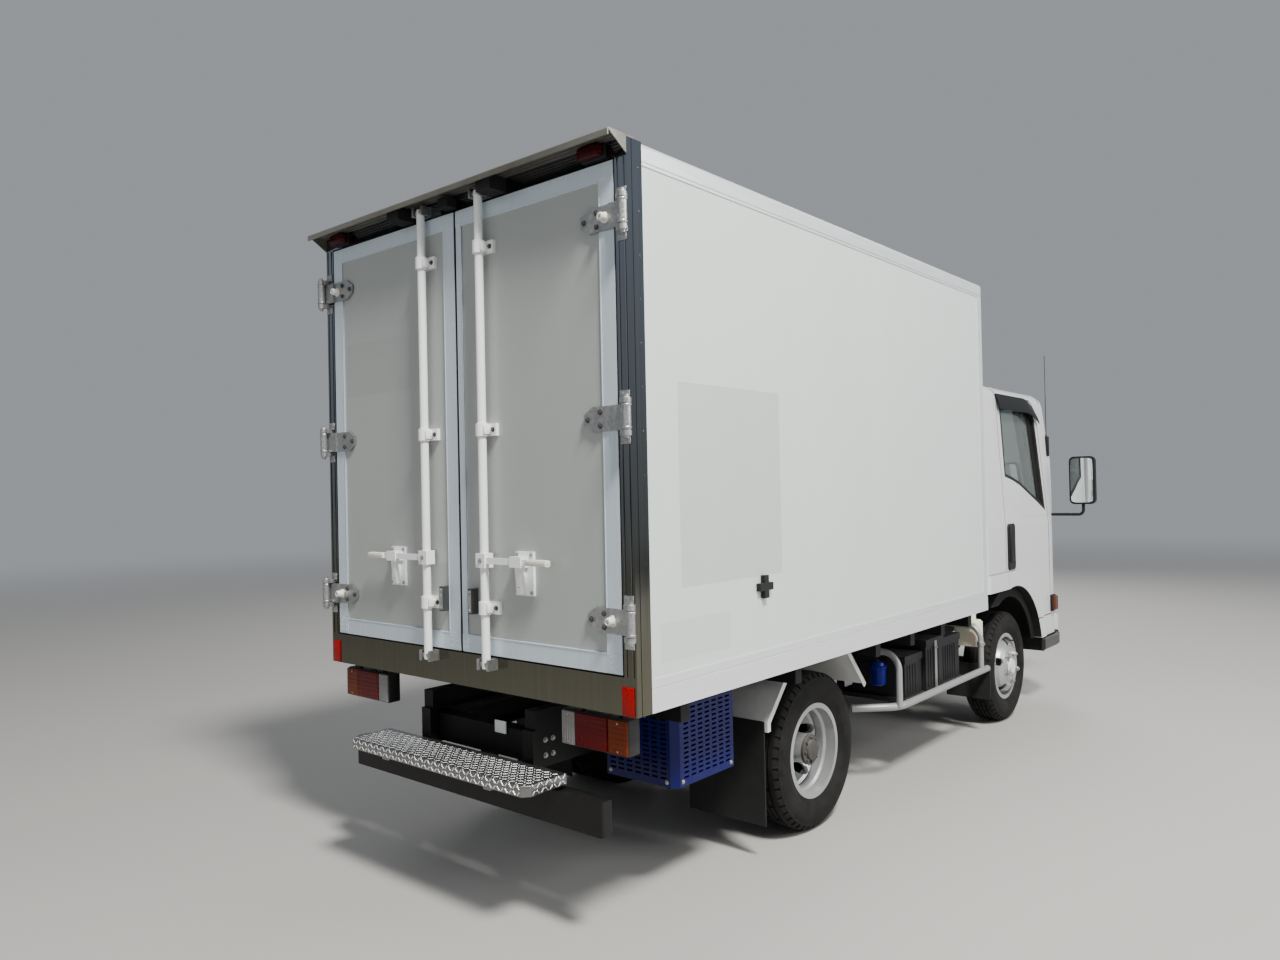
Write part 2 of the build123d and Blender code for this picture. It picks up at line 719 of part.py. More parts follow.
# Wheel arch flares, standing proud along the arch and back to the cab's tail
flare_top_z = axle_z + arch_radius + flare_height
with BuildPart() as flares:
    with BuildSketch(Plane.XZ):
        with Locations((front_axle_x, axle_z)):
            Circle(arch_radius + flare_height)
            Rectangle(2 * arch_radius, 4 * arch_radius, align=(Align.MAX, Align.CENTER), mode=Mode.SUBTRACT)
        with Locations((front_axle_x, flare_top_z)):
            Rectangle(front_axle_x - cab_back_x, flare_top_z - cab_tail_z, align=(Align.MAX, Align.MAX))
        with Locations((front_axle_x, axle_z)):
            Circle(arch_radius, mode=Mode.SUBTRACT)
        with Locations((front_axle_x, well_z)):
            Rectangle(4 * arch_radius, 2 * arch_radius, align=(Align.CENTER, Align.MAX), mode=Mode.SUBTRACT)
    extrude(amount=cab_width, both=True)
    add(cab_plan(flare_proud, 300))
    extrude(amount=2200, mode=Mode.INTERSECT)
    block((cab_back_x - 100, cab_front_x), (cab_skin - half_cab, half_cab - cab_skin), (300, belt_z),
          mode=Mode.SUBTRACT)

# The cab's outside with its flares, and the forms that hollow it
with BuildPart() as cab_outside:
    add(cab_form(0))
    add(flares.part)
cab_inside = cab_form(cab_skin)
with BuildPart() as cabin:
    add(cab_inside)
    block((cab_back_x, platform_front_x), (-half_cab, half_cab), (300, platform_z), mode=Mode.SUBTRACT)
    block((cab_back_x, cab_front_x), (-tunnel_half - cab_skin, tunnel_half + cab_skin),
          (300, tunnel_z + cab_skin), mode=Mode.SUBTRACT)
with BuildPart() as doorways:
    add(side_prism(door_outline, shut_gap))
    add(cab_tube(door_skin + shut_gap), mode=Mode.SUBTRACT)

# Cab shell with floor, seat platform over the engine and openings for doors and glass
with BuildPart() as cab_shell:
    add(cab_outside.part)
    add(cabin.part, mode=Mode.SUBTRACT)
    block((cab_back_x - 10, platform_front_x - cab_skin), (cab_skin - roof_half, roof_half - cab_skin),
          (300, platform_z - cab_skin), mode=Mode.SUBTRACT)
    block((cab_back_x - 10, cab_front_x - 70), (-tunnel_half, tunnel_half), (300, tunnel_z), mode=Mode.SUBTRACT)
    add(doorways.part, mode=Mode.SUBTRACT)
    add(front_prism(screen_outlines, *screen_reach), mode=Mode.SUBTRACT)
    add(front_prism(lamp_outlines + grille_outlines, *front_panel), mode=Mode.SUBTRACT)
    block((cab_back_x - 10, cab_back_x + 90), (-rear_window_half, rear_window_half), rear_window_z,
          mode=Mode.SUBTRACT)
keep(cab_shell.part, "cab_shell")

# Windscreen and rear window
screen_inset = 20
glass_gauge = 6
with BuildPart() as cab_glass:
    add(cab_form(screen_inset))
    add(cab_form(screen_inset + glass_gauge), mode=Mode.SUBTRACT)
    add(front_prism(screen_outlines, *screen_reach), mode=Mode.INTERSECT)
    block((cab_back_x + screen_inset, cab_back_x + screen_inset + glass_gauge),
          (-rear_window_half, rear_window_half), rear_window_z)
keep(cab_glass.part, "cab_glass")

# Headlamps filling their openings, and the small marker lamps on the cab's sides
marker_at = (4815, 4875)
marker_z = (625, 695)
marker_proud = 8
with BuildPart() as side_markers:
    for side in (1, -1):
        block((at(marker_at[0]), at(marker_at[1])),
              (side * (half_cab - cab_skin), side * (half_cab + marker_proud)), marker_z)
    add(cab_outside.part, mode=Mode.SUBTRACT)
with BuildPart() as headlamps:
    add(cab_form(0))
    add(cab_inside, mode=Mode.SUBTRACT)
    add(front_prism(lamp_outlines, *front_panel), mode=Mode.INTERSECT)
    add(side_markers.part)
keep(headlamps.part, "headlamps")

# Grille with three long slots
grille_slots = (790, 830, 870)
grille_slot_half = 430
with BuildPart() as front_grille:
    add(cab_form(0))
    add(cab_inside, mode=Mode.SUBTRACT)
    add(front_prism(grille_outlines, *front_panel), mode=Mode.INTERSECT)
    for slot_z in grille_slots:
        block((front_panel[0], front_panel[0] + front_panel[1]), (-grille_slot_half, grille_slot_half),
              (slot_z - 8, slot_z + 8), mode=Mode.SUBTRACT)
keep(front_grille.part, "front_grille")

# Wheel arch liners: a curved sheet over each front wheel with a lip at its outer edge
liner_radius = 541
liner_y = (450, 811)
liner_strips = (
    # inner y, inner radius
    (liner_y[0], liner_radius - 8),
    (liner_y[1] - 10, 470),
)
with BuildPart() as arch_liners:
    for side in (1, -1):
        for inner_y, inner_radius in liner_strips:
            with BuildSketch(seen_from_side(side * inner_y, front_axle_x)):
                with Locations((0, axle_z)):
                    Circle(liner_radius)
                    Circle(inner_radius, mode=Mode.SUBTRACT)
                    Rectangle(2 * liner_radius, 2 * liner_radius, align=(Align.CENTER, Align.MAX),
                              mode=Mode.SUBTRACT)
                with Locations((0, well_z)):
                    Rectangle(2 * liner_radius, 2 * liner_radius, align=(Align.MIN, Align.MAX),
                              mode=Mode.SUBTRACT)
                with Locations((0, cab_tail_z - flare_height)):
                    Rectangle(2 * liner_radius, 2 * liner_radius, align=(Align.MAX, Align.MAX),
                              mode=Mode.SUBTRACT)
            extrude(amount=-side * (liner_y[1] - inner_y))
keep(arch_liners.part, "arch_liners")

# Cab doors with a recessed pull handle, and their glass
handle_at = 4010
recess_half = 31
recess_z = (1030, 1280)
recess_depth = 22
grip_half = 14
grip_proud = 5
glass_inset = 24
with BuildPart() as door_skins:
    add(cab_outside.part)
    add(cab_tube(door_skin), mode=Mode.SUBTRACT)
    add(side_prism(door_outline, 0), mode=Mode.INTERSECT)
    add(side_prism(window_outline, 0), mode=Mode.SUBTRACT)
with BuildPart() as door_panes:
    add(cab_tube(glass_inset))
    add(cab_tube(glass_inset + glass_gauge), mode=Mode.SUBTRACT)
    add(side_prism(window_outline, 0), mode=Mode.INTERSECT)
for side, word in sides:
    with BuildPart() as cab_door:
        add(door_skins.part)
        block((cab_back_x, cab_front_x), (side * 300, side * cab_width), (300, roof_z), mode=Mode.INTERSECT)
        block((at(handle_at - recess_half), at(handle_at + recess_half)),
              (side * (half_cab - recess_depth), side * cab_width), recess_z, mode=Mode.SUBTRACT)
        block((at(handle_at - grip_half), at(handle_at + grip_half)),
              (side * (half_cab - recess_depth / 2), side * (half_cab + grip_proud)),
              (recess_z[0] - 1, recess_z[1] + 1))
    keep(cab_door.part, f"cab_door_{word}")
    with BuildPart() as door_glass:
        add(door_panes.part)
        block((cab_back_x, cab_front_x), (side * 300, side * cab_width), (300, roof_z), mode=Mode.INTERSECT)
    keep(door_glass.part, f"door_glass_{word}")

# Seats: driver's on the right, double seat on the left, each with its headrests
seat_table = (
    # inner y, outer y, headrest middles
    (-190, -700, (-445,)),
    (-150, 700, (60, 480)),
)
cushion_x = (cab_back_x + 250, cab_back_x + 760)
cushion_depth = 130
backrest_x = cab_back_x + 110
backrest_height = 600
headrest_half = 130
headrest_height = 170
with BuildPart() as seats:
    for inner_y, outer_y, headrests in seat_table:
        block(cushion_x, (inner_y, outer_y), (platform_z, platform_z + cushion_depth))
        block((backrest_x, cushion_x[0]), (inner_y, outer_y), (platform_z, platform_z + backrest_height))
        for headrest_y in headrests:
            block((backrest_x + 20, cushion_x[0] - 20),
                  (headrest_y - headrest_half, headrest_y + headrest_half),
                  (platform_z + backrest_height, platform_z + backrest_height + headrest_height))
keep(seats.part, "seats")

# Dashboard with an instrument hood over the steering column
dash_x = cab_front_x - 70
hood_y = (-560, -240)
with BuildPart() as dashboard:
    with BuildSketch(Plane.XZ):
        with BuildLine():
            Polyline((dash_x, 900), (dash_x, 1265), (dash_x - 110, 1285), (dash_x - 360, 1250),
                     (dash_x - 380, 1120), (dash_x - 230, 900), close=True)
        make_face()
    extrude(amount=half_cab, both=True)
    add(cab_form(door_skin + shut_gap), mode=Mode.INTERSECT)
    block((dash_x - 330, dash_x - 150), hood_y, (1200, 1330))
keep(dashboard.part, "dashboard")

# Steering wheel and column, on the right: a rim of eight-sided section on three spokes
wheel_radius = 190
wheel_lean = -35
grip_radius = 14
spoke_width = 36
spoke_gauge = 14
column_radius = 25
column_length = 280
with BuildPart() as steering_wheel:
    with BuildSketch(Plane.XZ):
        with Locations((wheel_radius, 0)):
            RegularPolygon(grip_radius, 8)
    revolve(axis=Axis.Z)
    Box(spoke_width, 2 * wheel_radius, spoke_gauge)
    Box(wheel_radius, spoke_width, spoke_gauge, align=(Align.MAX, Align.CENTER, Align.CENTER))
    Cylinder(50, 40)
    Cylinder(column_radius, column_length, align=(Align.CENTER, Align.CENTER, Align.MAX))
keep(steering_wheel.part.moved(Location((cab_back_x + 940, -400, 1470), (0, wheel_lean, 0))), "steering_wheel")

# Mirrors on cranked arms
mirror_x = cab_back_x + 1400
mirror_arm_z = 1365
mirror_arm_radius = 11
mirror_y = (980, 1155)
mirror_z = (1440, 1790)
mirror_depth = (25, 35)
with BuildPart() as mirrors:
    for side in (1, -1):
        block((mirror_x - mirror_depth[0], mirror_x + mirror_depth[1]),
              (side * mirror_y[0], side * mirror_y[1]),
              mirror_z)
    fillet(mirrors.edges().filter_by(Axis.X), 35)
    fillet(mirrors.faces().sort_by(Axis.X)[-2:].edges(), 18)
    for side in (1, -1):
        arm_end_y = side * sum(mirror_y) / 2
        with BuildLine() as arm_line:
            FilletPolyline((mirror_x, side * (half_cab - 18), mirror_arm_z),
                           (mirror_x, arm_end_y, mirror_arm_z),
                           (mirror_x, arm_end_y, mirror_z[0] + 20), radius=35)
        with BuildSketch(Plane(origin=arm_line.line @ 0, z_dir=arm_line.line % 0)):
            Circle(mirror_arm_radius)
        sweep(path=arm_line.line)
    add(cab_outside.part, mode=Mode.SUBTRACT)
keep(mirrors.part, "mirrors")

# Cross bearers and two long sills under the box floor, clear of the wheels and the condenser
bearer_at = (300, 700, 1100, 1480, 1860, 2260, 2660, 3060)
bearer_half = 25
bearer_clear = 300
long_sill_top_z = rail_top_z + (box_base_z - rail_top_z) / 2
with BuildPart() as floor_bearers:
    for side in (1, -1):
        block((rear_x + frame_depth, box_front_x - 20), (side * rail_inner_y, side * rail_outer_y),
              (rail_top_z, long_sill_top_z))
    for place in bearer_at:
        right_y, left_y = 30 - half_box, half_box - 30
        if abs(place - rear_axle_at) < bearer_clear:
            right_y, left_y = -rail_outer_y - 10, rail_outer_y + 10
        elif case_at[0] - 30 < place < case_at[1] + 30:
            right_y = case_y[1] + 5
        block((at(place) - bearer_half, at(place) + bearer_half), (right_y, left_y),
              (long_sill_top_z, box_base_z))
keep(floor_bearers.part, "floor_bearers")

# Insulated floor, front wall and roof panels
with BuildPart() as box_floor:
    block((rear_x + frame_depth, box_front_x - wall), (wall - half_box, half_box - wall),
          (box_base_z, box_base_z + floor_depth))
keep(box_floor.part, "box_floor")
with BuildPart() as box_front:
    block((box_front_x - wall, box_front_x), (wall - half_box, half_box - wall), (box_base_z, box_top_z))
keep(box_front.part, "box_front")
with BuildPart() as box_roof:
    block((rear_x + frame_depth, box_front_x - wall), (wall - half_box, half_box - wall),
          (box_top_z - roof_depth, box_top_z))
keep(box_roof.part, "box_roof")

# Side walls, a skin's step inside the rails that edge them
for side, word in sides:
    with BuildPart() as box_wall:
        block((rear_x + frame_depth, box_front_x - front_post_length),
              (side * (half_box - wall), side * (half_box - skin_step)),
              (box_base_z + bottom_rail_depth, top_rail_z))
    keep(box_wall.part, f"box_wall_{word}")

# Aluminium rails along the box's long edges and posts at its front corners
groove_depth = 3
groove_height = 6
rail_groove_z = (919, 2745)
rail_round = 18
with BuildPart() as box_rails:
    for side in (1, -1):
        block((rear_x + frame_depth, box_front_x), (side * (half_box - wall), side * half_box),
              (box_base_z, box_top_z))
    top_edges = box_rails.edges().filter_by(Axis.X).group_by(Axis.Z)[-1]
    fillet(top_edges.sort_by(lambda edge: abs(edge.center().Y))[-2:], rail_round)
    for side in (1, -1):
        block((rear_x + frame_depth - 1, box_front_x - front_post_length),
              (side * (half_box - wall - 1), side * (half_box + 1)),
              (box_base_z + bottom_rail_depth, top_rail_z),
              mode=Mode.SUBTRACT)
        for groove_z in rail_groove_z:
            block((rear_x + frame_depth - 1, box_front_x + 1),
                  (side * (half_box - groove_depth), side * (half_box + 1)),
                  (groove_z, groove_z + groove_height),
                  mode=Mode.SUBTRACT)
keep(box_rails.part, "box_rails")

# Stainless rear frame, one ring around the doors
side_groove_at = (22, 28)
side_groove_depth = 1.5
with BuildPart() as rear_frame:
    block((rear_x, rear_x + frame_depth), (-half_box, half_box), (box_base_z, box_top_z))
    block((rear_x - 1, rear_x + frame_depth + 1), (-half_opening, half_opening), (sill_z, header_z),
          mode=Mode.SUBTRACT)
    for side in (1, -1):
        block((at(side_groove_at[0]), at(side_groove_at[1])),
              (side * (half_box - side_groove_depth), side * (half_box + 1)), (box_base_z - 1, box_top_z + 1),
              mode=Mode.SUBTRACT)
keep(rear_frame.part, "rear_frame")

# Fittings on the rear frame: the fixed halves of the hinges with their pins, and the lock bars' keepers
lug_gauge = 18
lug_gap = 2
keeper_z = ((925, 968), (2762, 2800))
keeper_base = 8
keeper_reach = 50
keeper_cheek_y = (24, 34)
with BuildPart() as frame_fittings:
    for side in (1, -1):
        bar_y = meeting_y + side * lock_bar_inset
        for zs in keeper_z:
            block((rear_x - keeper_base, rear_x), (bar_y - keeper_cheek_y[1], bar_y + keeper_cheek_y[1]), zs)
            for end in (1, -1):
                block((rear_x - keeper_reach, rear_x - keeper_base),
                      (bar_y + end * keeper_cheek_y[0], bar_y + end * keeper_cheek_y[1]), zs)
        for height in hinge_heights:
            for end in (1, -1):
                lug_z = height + end * (barrel_height / 2 + lug_gap)
                block((rear_x - barrel_offset, rear_x), (side * (half_box - 30), side * half_box),
                      (lug_z, lug_z + end * lug_gauge))
                with Locations((rear_x - barrel_offset, side * barrel_y, lug_z + end * lug_gauge / 2)):
                    Cylinder(barrel_radius, lug_gauge)
            with Locations((rear_x - barrel_offset, side * barrel_y, height)):
                Cylinder(hinge_pin_radius, barrel_height + lug_gauge)
keep(frame_fittings.part, "frame_fittings")

# Rain hood over the doors with a gusset at each end
hood_reach = 95
hood_gauge = 6
hood_lip = 20
hood_seat = 40
gusset_drop = 58
gusset_gauge = 3
with BuildPart() as rain_hood:
    with BuildSketch(seen_from_side(half_box, rear_x, box_top_z)):
        with BuildLine():
            Polyline((hood_seat, 0), (hood_seat, hood_gauge), (hood_gauge - hood_reach, hood_gauge),
                     (-hood_reach, 0), (-hood_reach, -hood_lip), (hood_gauge - hood_reach, -hood_lip),
                     (hood_gauge - hood_reach, 0), close=True)
        make_face()
    extrude(amount=box_width)
    for start_y in (half_box, gusset_gauge - half_box):
        with BuildSketch(seen_from_side(start_y, rear_x, box_top_z)):
            with BuildLine():
                Polyline((hood_gauge - hood_reach, 0), (0, -gusset_drop), (0, 0), close=True)
            make_face()
        extrude(amount=gusset_gauge)
keep(rain_hood.part, "rain_hood")

# Rubber blocks that stop the doors under the hood, and the crosses on the walls that hold them open
holder_at = (746, 842)
holder_z = (1165, 1257)
holder_proud = 20
holder_arm = 30
holder_middle = (at(sum(holder_at) / 2), sum(holder_z) / 2)
with BuildPart() as door_stops:
    block((rear_x - keeper_reach, rear_x), (-30, 30), keeper_z[1])
    for side in (1, -1):
        block((rear_x - 85, rear_x), (side * 250, side * 330), (header_z + 1, box_top_z - 4))
        ys = (side * (half_box - skin_step), side * (half_box - skin_step + holder_proud))
        block((at(holder_at[0]), at(holder_at[1])), ys,
              (holder_middle[1] - holder_arm / 2, holder_middle[1] + holder_arm / 2))
        block((holder_middle[0] - holder_arm / 2, holder_middle[0] + holder_arm / 2), ys, holder_z)
keep(door_stops.part, "door_stops")

# Evaporator under the roof, against the front wall, with two fan rings
evaporator_depth = 420
evaporator_half = 560
evaporator_base_z = box_top_z - roof_depth - 230
evaporator_face_x = box_front_x - wall - evaporator_depth
fan_radius = 95
fan_y = 270
with BuildPart() as evaporator:
    block((evaporator_face_x, box_front_x - wall), (-evaporator_half, evaporator_half),
          (evaporator_base_z, box_top_z - roof_depth))
    for side in (1, -1):
        with Locations(Location((evaporator_face_x, side * fan_y, evaporator_base_z + 115), (0, 90, 0))):
            Cylinder(fan_radius + 10, 40)
            Cylinder(fan_radius, 60, mode=Mode.SUBTRACT)
keep(evaporator.part, "evaporator")

# Box doors: an edged panel each, the hinge straps on it, and the lock bar with its handle
strap_flare_y = 765
crank_y = (865, 936)
pocket_z = (door_base_z + door_edging, door_top_z - 64)
guide_radius = 25
guide_half = 24
guide_foot = 60
arm_x = (-46, -34)
arm_end_y = 560
arm_half = 12
grip_start_y = 450
handle_grip_x = (-52, -28)
handle_grip_half = 10
hub_half = 28
hub_half_width = 26
hasp_y = (352, 448)
hasp_z = (1222, 1388)
hasp_gauge = 8
catch_y = (362, 425)
catch_reach = 50
catch_half = 20
latch_inset = 90
latch_half = 12.5
latch_z = (1134, 1234)
latch_reach = 30
door_inner_ys = (meeting_y + half_meeting_gap, meeting_y - half_meeting_gap)
for (side, word), inner_y, stile in zip(sides, door_inner_ys, (door_edging, door_edging / 2)):
    outer_y = side * door_outer_y
    with BuildPart() as box_door:
        block((rear_x, rear_x + door_depth), (inner_y, outer_y), (door_base_z, door_top_z))
        block((rear_x - 1, rear_x + door_inset), (inner_y + side * stile, outer_y - side * door_edging),
              pocket_z,
              mode=Mode.SUBTRACT)
    keep(box_door.part, f"box_door_{word}")
    with BuildPart() as door_hinges:
        for height in hinge_heights:
            with BuildSketch(Plane(origin=(rear_x, 0, height), x_dir=(0, side, 0), z_dir=(-side, 0, 0))):
                with BuildLine():
                    Polyline((strap_tip_y, -strap_tip_height / 2), (strap_flare_y, -barrel_height / 2),
                             (door_outer_y, -barrel_height / 2), (door_outer_y, barrel_height / 2),
                             (strap_flare_y, barrel_height / 2), (strap_tip_y, strap_tip_height / 2),
                             close=True)
                make_face()
            extrude(amount=side * strap_gauge)
            block((rear_x - strap_gap - 8, rear_x - strap_gap), (side * crank_y[0], side * crank_y[1]),
                  (height - barrel_height / 2, height + barrel_height / 2))
            with Locations((rear_x - barrel_offset, side * barrel_y, height)):
                Cylinder(barrel_radius, barrel_height)
                Cylinder(hinge_pin_radius + pin_clearance, barrel_height, mode=Mode.SUBTRACT)
    keep(door_hinges.part, f"door_hinges_{word}")
    bar_y = meeting_y + side * lock_bar_inset
    with BuildPart() as lock_bar:
        rod((rear_x - lock_bar_offset, bar_y, lock_bar_foot_z),
            (rear_x - lock_bar_offset, bar_y, lock_bar_top_z), lock_bar_radius)
        for height in guide_heights:
            rod((rear_x - lock_bar_offset, bar_y, height - guide_half),
                (rear_x - lock_bar_offset, bar_y, height + guide_half), guide_radius)
        block((rear_x - 52, rear_x - 8), (bar_y - hub_half_width, bar_y + hub_half_width),
              (handle_z - hub_half, handle_z + hub_half))
    with BuildPart() as guide_feet:
        for height in guide_heights:
            block((rear_x - 12, rear_x + door_inset), (bar_y - guide_foot, bar_y + guide_half),
                  (height - guide_half, height + guide_half))
        add(lock_bar.part, mode=Mode.SUBTRACT)
    with BuildPart() as lever:
        block((rear_x + arm_x[0], rear_x + arm_x[1]), (bar_y + side * hub_half_width, side * arm_end_y),
              (handle_z - arm_half, handle_z + arm_half))
        block((rear_x + handle_grip_x[0], rear_x + handle_grip_x[1]), (side * grip_start_y, side * arm_end_y),
              (handle_z - handle_grip_half, handle_z + handle_grip_half))
    with BuildPart() as hasp:
        block((rear_x - hasp_gauge, rear_x + door_inset), (side * hasp_y[0], side * hasp_y[1]), hasp_z)
        block((rear_x - catch_reach, rear_x), (side * catch_y[0], side * catch_y[1]),
              (handle_z - catch_half, handle_z + catch_half))
        latch_y = meeting_y + side * latch_inset
        block((rear_x - latch_reach, rear_x + door_inset), (latch_y - latch_half, latch_y + latch_half),
              latch_z)
        add(lever.part, mode=Mode.SUBTRACT)
    lock_gear = [*lock_bar.solids(), *guide_feet.solids(), *lever.solids(), *hasp.solids()]
    keep(Compound(lock_gear), f"lock_gear_{word}")


def tyre_at(x, y):
    """One tyre on a cross axis: flat facets between its rings, one of them flat on the ground."""
    rings = ((97.5, 293), (90, 335), (78, 357), (58, tyre_radius), (-58, tyre_radius), (-78, 357), (-90, 335),
             (-97.5, 293), (-68.5, 222), (-68.5, bead_radius), (68.5, bead_radius), (68.5, 222))

    def corner(ring, number):
        across, reach = ring[0], ring[1] / cos(pi / tyre_flats)
        turn = (number + 0.5) * 2 * pi / tyre_flats - pi / 2
        return (x + reach * cos(turn), y + across, axle_z + reach * sin(turn))

    facets = []
    for near, far in zip(rings, rings[1:] + rings[:1]):
        for number in range(tyre_flats):
            facets.append(Face(Wire.make_polygon([corner(near, number), corner(near, number + 1),
                                                  corner(far, number + 1), corner(far, number)])))
    return Solid(Shell(facets))


def rim_at(x, y, outward):
    """One pressed wheel: a barrel between two flanges and a bowed disc with hand holes, set off to one side."""
    half = rim_width / 2
    seat = bead_radius - 1
    drop = seat - 18
    hand_holes = 5
    hand_radius = 27
    hand_place = 160
    with BuildPart() as rim:
        with BuildSketch(Plane(origin=(x, y, axle_z), x_dir=(0, outward, 0), z_dir=(-outward, 0, 0))):
            with BuildLine():
                Polyline((-half, seat - rim_gauge), (-half, flange_radius), (-half + rim_gauge, flange_radius),
                         (-half + rim_gauge, seat), (-20, seat), (-10, drop + rim_gauge),
                         (20, drop + rim_gauge),
                         (30, seat), (half - rim_gauge, seat), (half - rim_gauge, flange_radius),
                         (half, flange_radius), (half, seat - rim_gauge), (34, seat - rim_gauge), (24, drop),
                         (-14, drop), (-24, seat - rim_gauge), close=True)
            make_face()
            with BuildLine():
                Polyline((30, drop + 2), (46, drop + 2), (88, 165), (disc_offset, 130), (disc_offset, 60),
                         (disc_offset - disc_gauge, 60), (disc_offset - disc_gauge, 126), (80, 158),
                         (40, drop - 10), close=True)
            make_face()
        revolve(axis=Axis((x, y, axle_z), (0, 1, 0)))
        with BuildSketch(seen_from_side(y, x, axle_z)):
            with PolarLocations(hand_place, hand_holes, start_angle=90):
                Circle(hand_radius)
        extrude(amount=-outward * (disc_offset + 10), mode=Mode.SUBTRACT)
    return rim.part


# Front wheels: tyre, rim with hub, drum and cap, and the knuckle that carries them
hub_radius = 62
hub_y = (670, 816)
cap_radius = 45
cap_end_y = 832
drum_radius = 150
drum_y = (660, 720)
stub_y = (600, 800)
for side, word in sides:
    wheel_y = side * front_track / 2
    keep(tyre_at(front_axle_x, wheel_y), f"front_tyre_{word}")
    with BuildPart() as front_wheel:
        add(rim_at(front_axle_x, wheel_y, side))
        for ys, radius in ((hub_y, hub_radius), (drum_y, drum_radius)):
            rod((front_axle_x, side * ys[0], axle_z), (front_axle_x, side * ys[1], axle_z), radius)
        rod((front_axle_x, side * (hub_y[0] - 40), axle_z), (front_axle_x, side * (stub_y[1] + 4), axle_z),
            spindle_radius + bearing_clearance, mode=Mode.SUBTRACT)
        rod((front_axle_x, side * (hub_y[1] - 6), axle_z), (front_axle_x, side * cap_end_y, axle_z), cap_radius)
    keep(front_wheel.part, f"front_wheel_{word}")
    with BuildPart() as knuckle:
        rod((front_axle_x, side * stub_y[0], axle_z), (front_axle_x, side * stub_y[1], axle_z), spindle_radius)
        rod((front_axle_x, side * 623, axle_z), (front_axle_x, side * 653, axle_z), 60)
        for end in (1, -1):
            block((front_axle_x - 28, front_axle_x + 28), (side * (kingpin_y - 28), side * 640),
                  (axle_z + end * (eye_height / 2 + 6), axle_z + end * (eye_height / 2 + 36)))
        block((front_axle_x - 28, front_axle_x + 28), (side * 622, side * 645),
              (axle_z - eye_height / 2 - 36, axle_z + eye_height / 2 + 36))
        with Locations((front_axle_x, side * kingpin_y, axle_z)):
            Cylinder(kingpin_radius, eye_height + 70)
    keep(knuckle.part, f"knuckle_{word}")

# Twin rear wheels: two tyres, and two rims back to back on one hub with its drum
twin_hub_radius = 70
twin_hub_y = (560, 735)
twin_drum_radius = 160
twin_drum_y = (410, 569)
for side, word in sides:
    twin_ys = (side * rear_outer_y, side * (rear_outer_y - twin_spacing))
    with BuildPart() as rear_tyres:
        for twin_y in twin_ys:
            add(tyre_at(rear_axle_x, twin_y))
    keep(rear_tyres.part, f"rear_tyres_{word}")
    with BuildPart() as rear_wheels:
        for twin_y, outward in zip(twin_ys, (-side, side)):
            add(rim_at(rear_axle_x, twin_y, outward))
        for ys, radius in ((twin_hub_y, twin_hub_radius), (twin_drum_y, twin_drum_radius)):
            rod((rear_axle_x, side * ys[0], axle_z), (rear_axle_x, side * ys[1], axle_z), radius)
        rod((rear_axle_x, side * twin_drum_y[0], axle_z), (rear_axle_x, side * (tube_end_y + 4), axle_z),
            tube_radius + 5, mode=Mode.SUBTRACT)
        rod((rear_axle_x, side * tube_end_y, axle_z), (rear_axle_x, side * (spindle_end_y + 4), axle_z),
            rear_spindle_radius + bearing_clearance, mode=Mode.SUBTRACT)
    keep(rear_wheels.part, f"rear_wheels_{word}")
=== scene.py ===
from math import atan2, cos, pi, radians, sin

import bpy
from mathutils import Matrix, Vector


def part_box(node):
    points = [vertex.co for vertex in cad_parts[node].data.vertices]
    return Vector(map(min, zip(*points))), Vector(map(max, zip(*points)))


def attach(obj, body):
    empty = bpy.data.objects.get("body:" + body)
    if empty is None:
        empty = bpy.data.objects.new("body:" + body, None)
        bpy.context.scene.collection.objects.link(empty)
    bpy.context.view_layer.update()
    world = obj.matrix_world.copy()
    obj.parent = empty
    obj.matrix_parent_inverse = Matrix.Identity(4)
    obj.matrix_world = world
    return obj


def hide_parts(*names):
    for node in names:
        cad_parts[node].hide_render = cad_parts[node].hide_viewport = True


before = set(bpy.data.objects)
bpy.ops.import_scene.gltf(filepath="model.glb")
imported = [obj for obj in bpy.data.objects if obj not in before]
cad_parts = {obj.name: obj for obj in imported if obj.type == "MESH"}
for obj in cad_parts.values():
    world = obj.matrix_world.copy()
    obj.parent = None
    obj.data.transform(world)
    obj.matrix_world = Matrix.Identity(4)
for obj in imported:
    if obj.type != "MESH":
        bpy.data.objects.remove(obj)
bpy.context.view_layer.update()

# The studio: a pale floor, a pale room and large soft lamps, with the camera where
# the photographer stood, behind the truck's right rear corner at head height.
rear_x = -2.4845
camera_place = Vector((rear_x - 2.3711, -2.9872, 1.6113))
camera_yaw, camera_pitch, camera_roll = radians(40.3629), radians(0.6003), radians(-1.1656)
photo_width, photo_focal, film_width = 1280, 925, 36

bpy.ops.object.select_all(action="DESELECT")
ahead = Vector((cos(camera_yaw) * cos(camera_pitch), sin(camera_yaw) * cos(camera_pitch), sin(camera_pitch)))
level = Vector((sin(camera_yaw), -cos(camera_yaw), 0))
upright = level.cross(ahead)
rightward = cos(camera_roll) * level + sin(camera_roll) * upright
upward = cos(camera_roll) * upright - sin(camera_roll) * level
turn = Matrix((rightward, upward, -ahead)).transposed()
bpy.ops.object.camera_add(location=camera_place, rotation=turn.to_euler())
camera = bpy.context.object
camera.data.sensor_width = film_width
camera.data.lens = photo_focal / photo_width * film_width
camera.data.clip_end = 200
bpy.context.scene.camera = camera


def math_node(operation, swapped=False):
    """The method for an operator: one Math node fed with both its sides, or with them swapped."""
    def reckon(wire, *others):
        values = (*others, wire) if swapped else (wire, *others)
        return wire.finish.step("Math", {"operation": operation, "use_clamp": False},
            dict(enumerate(values)))
    return reckon


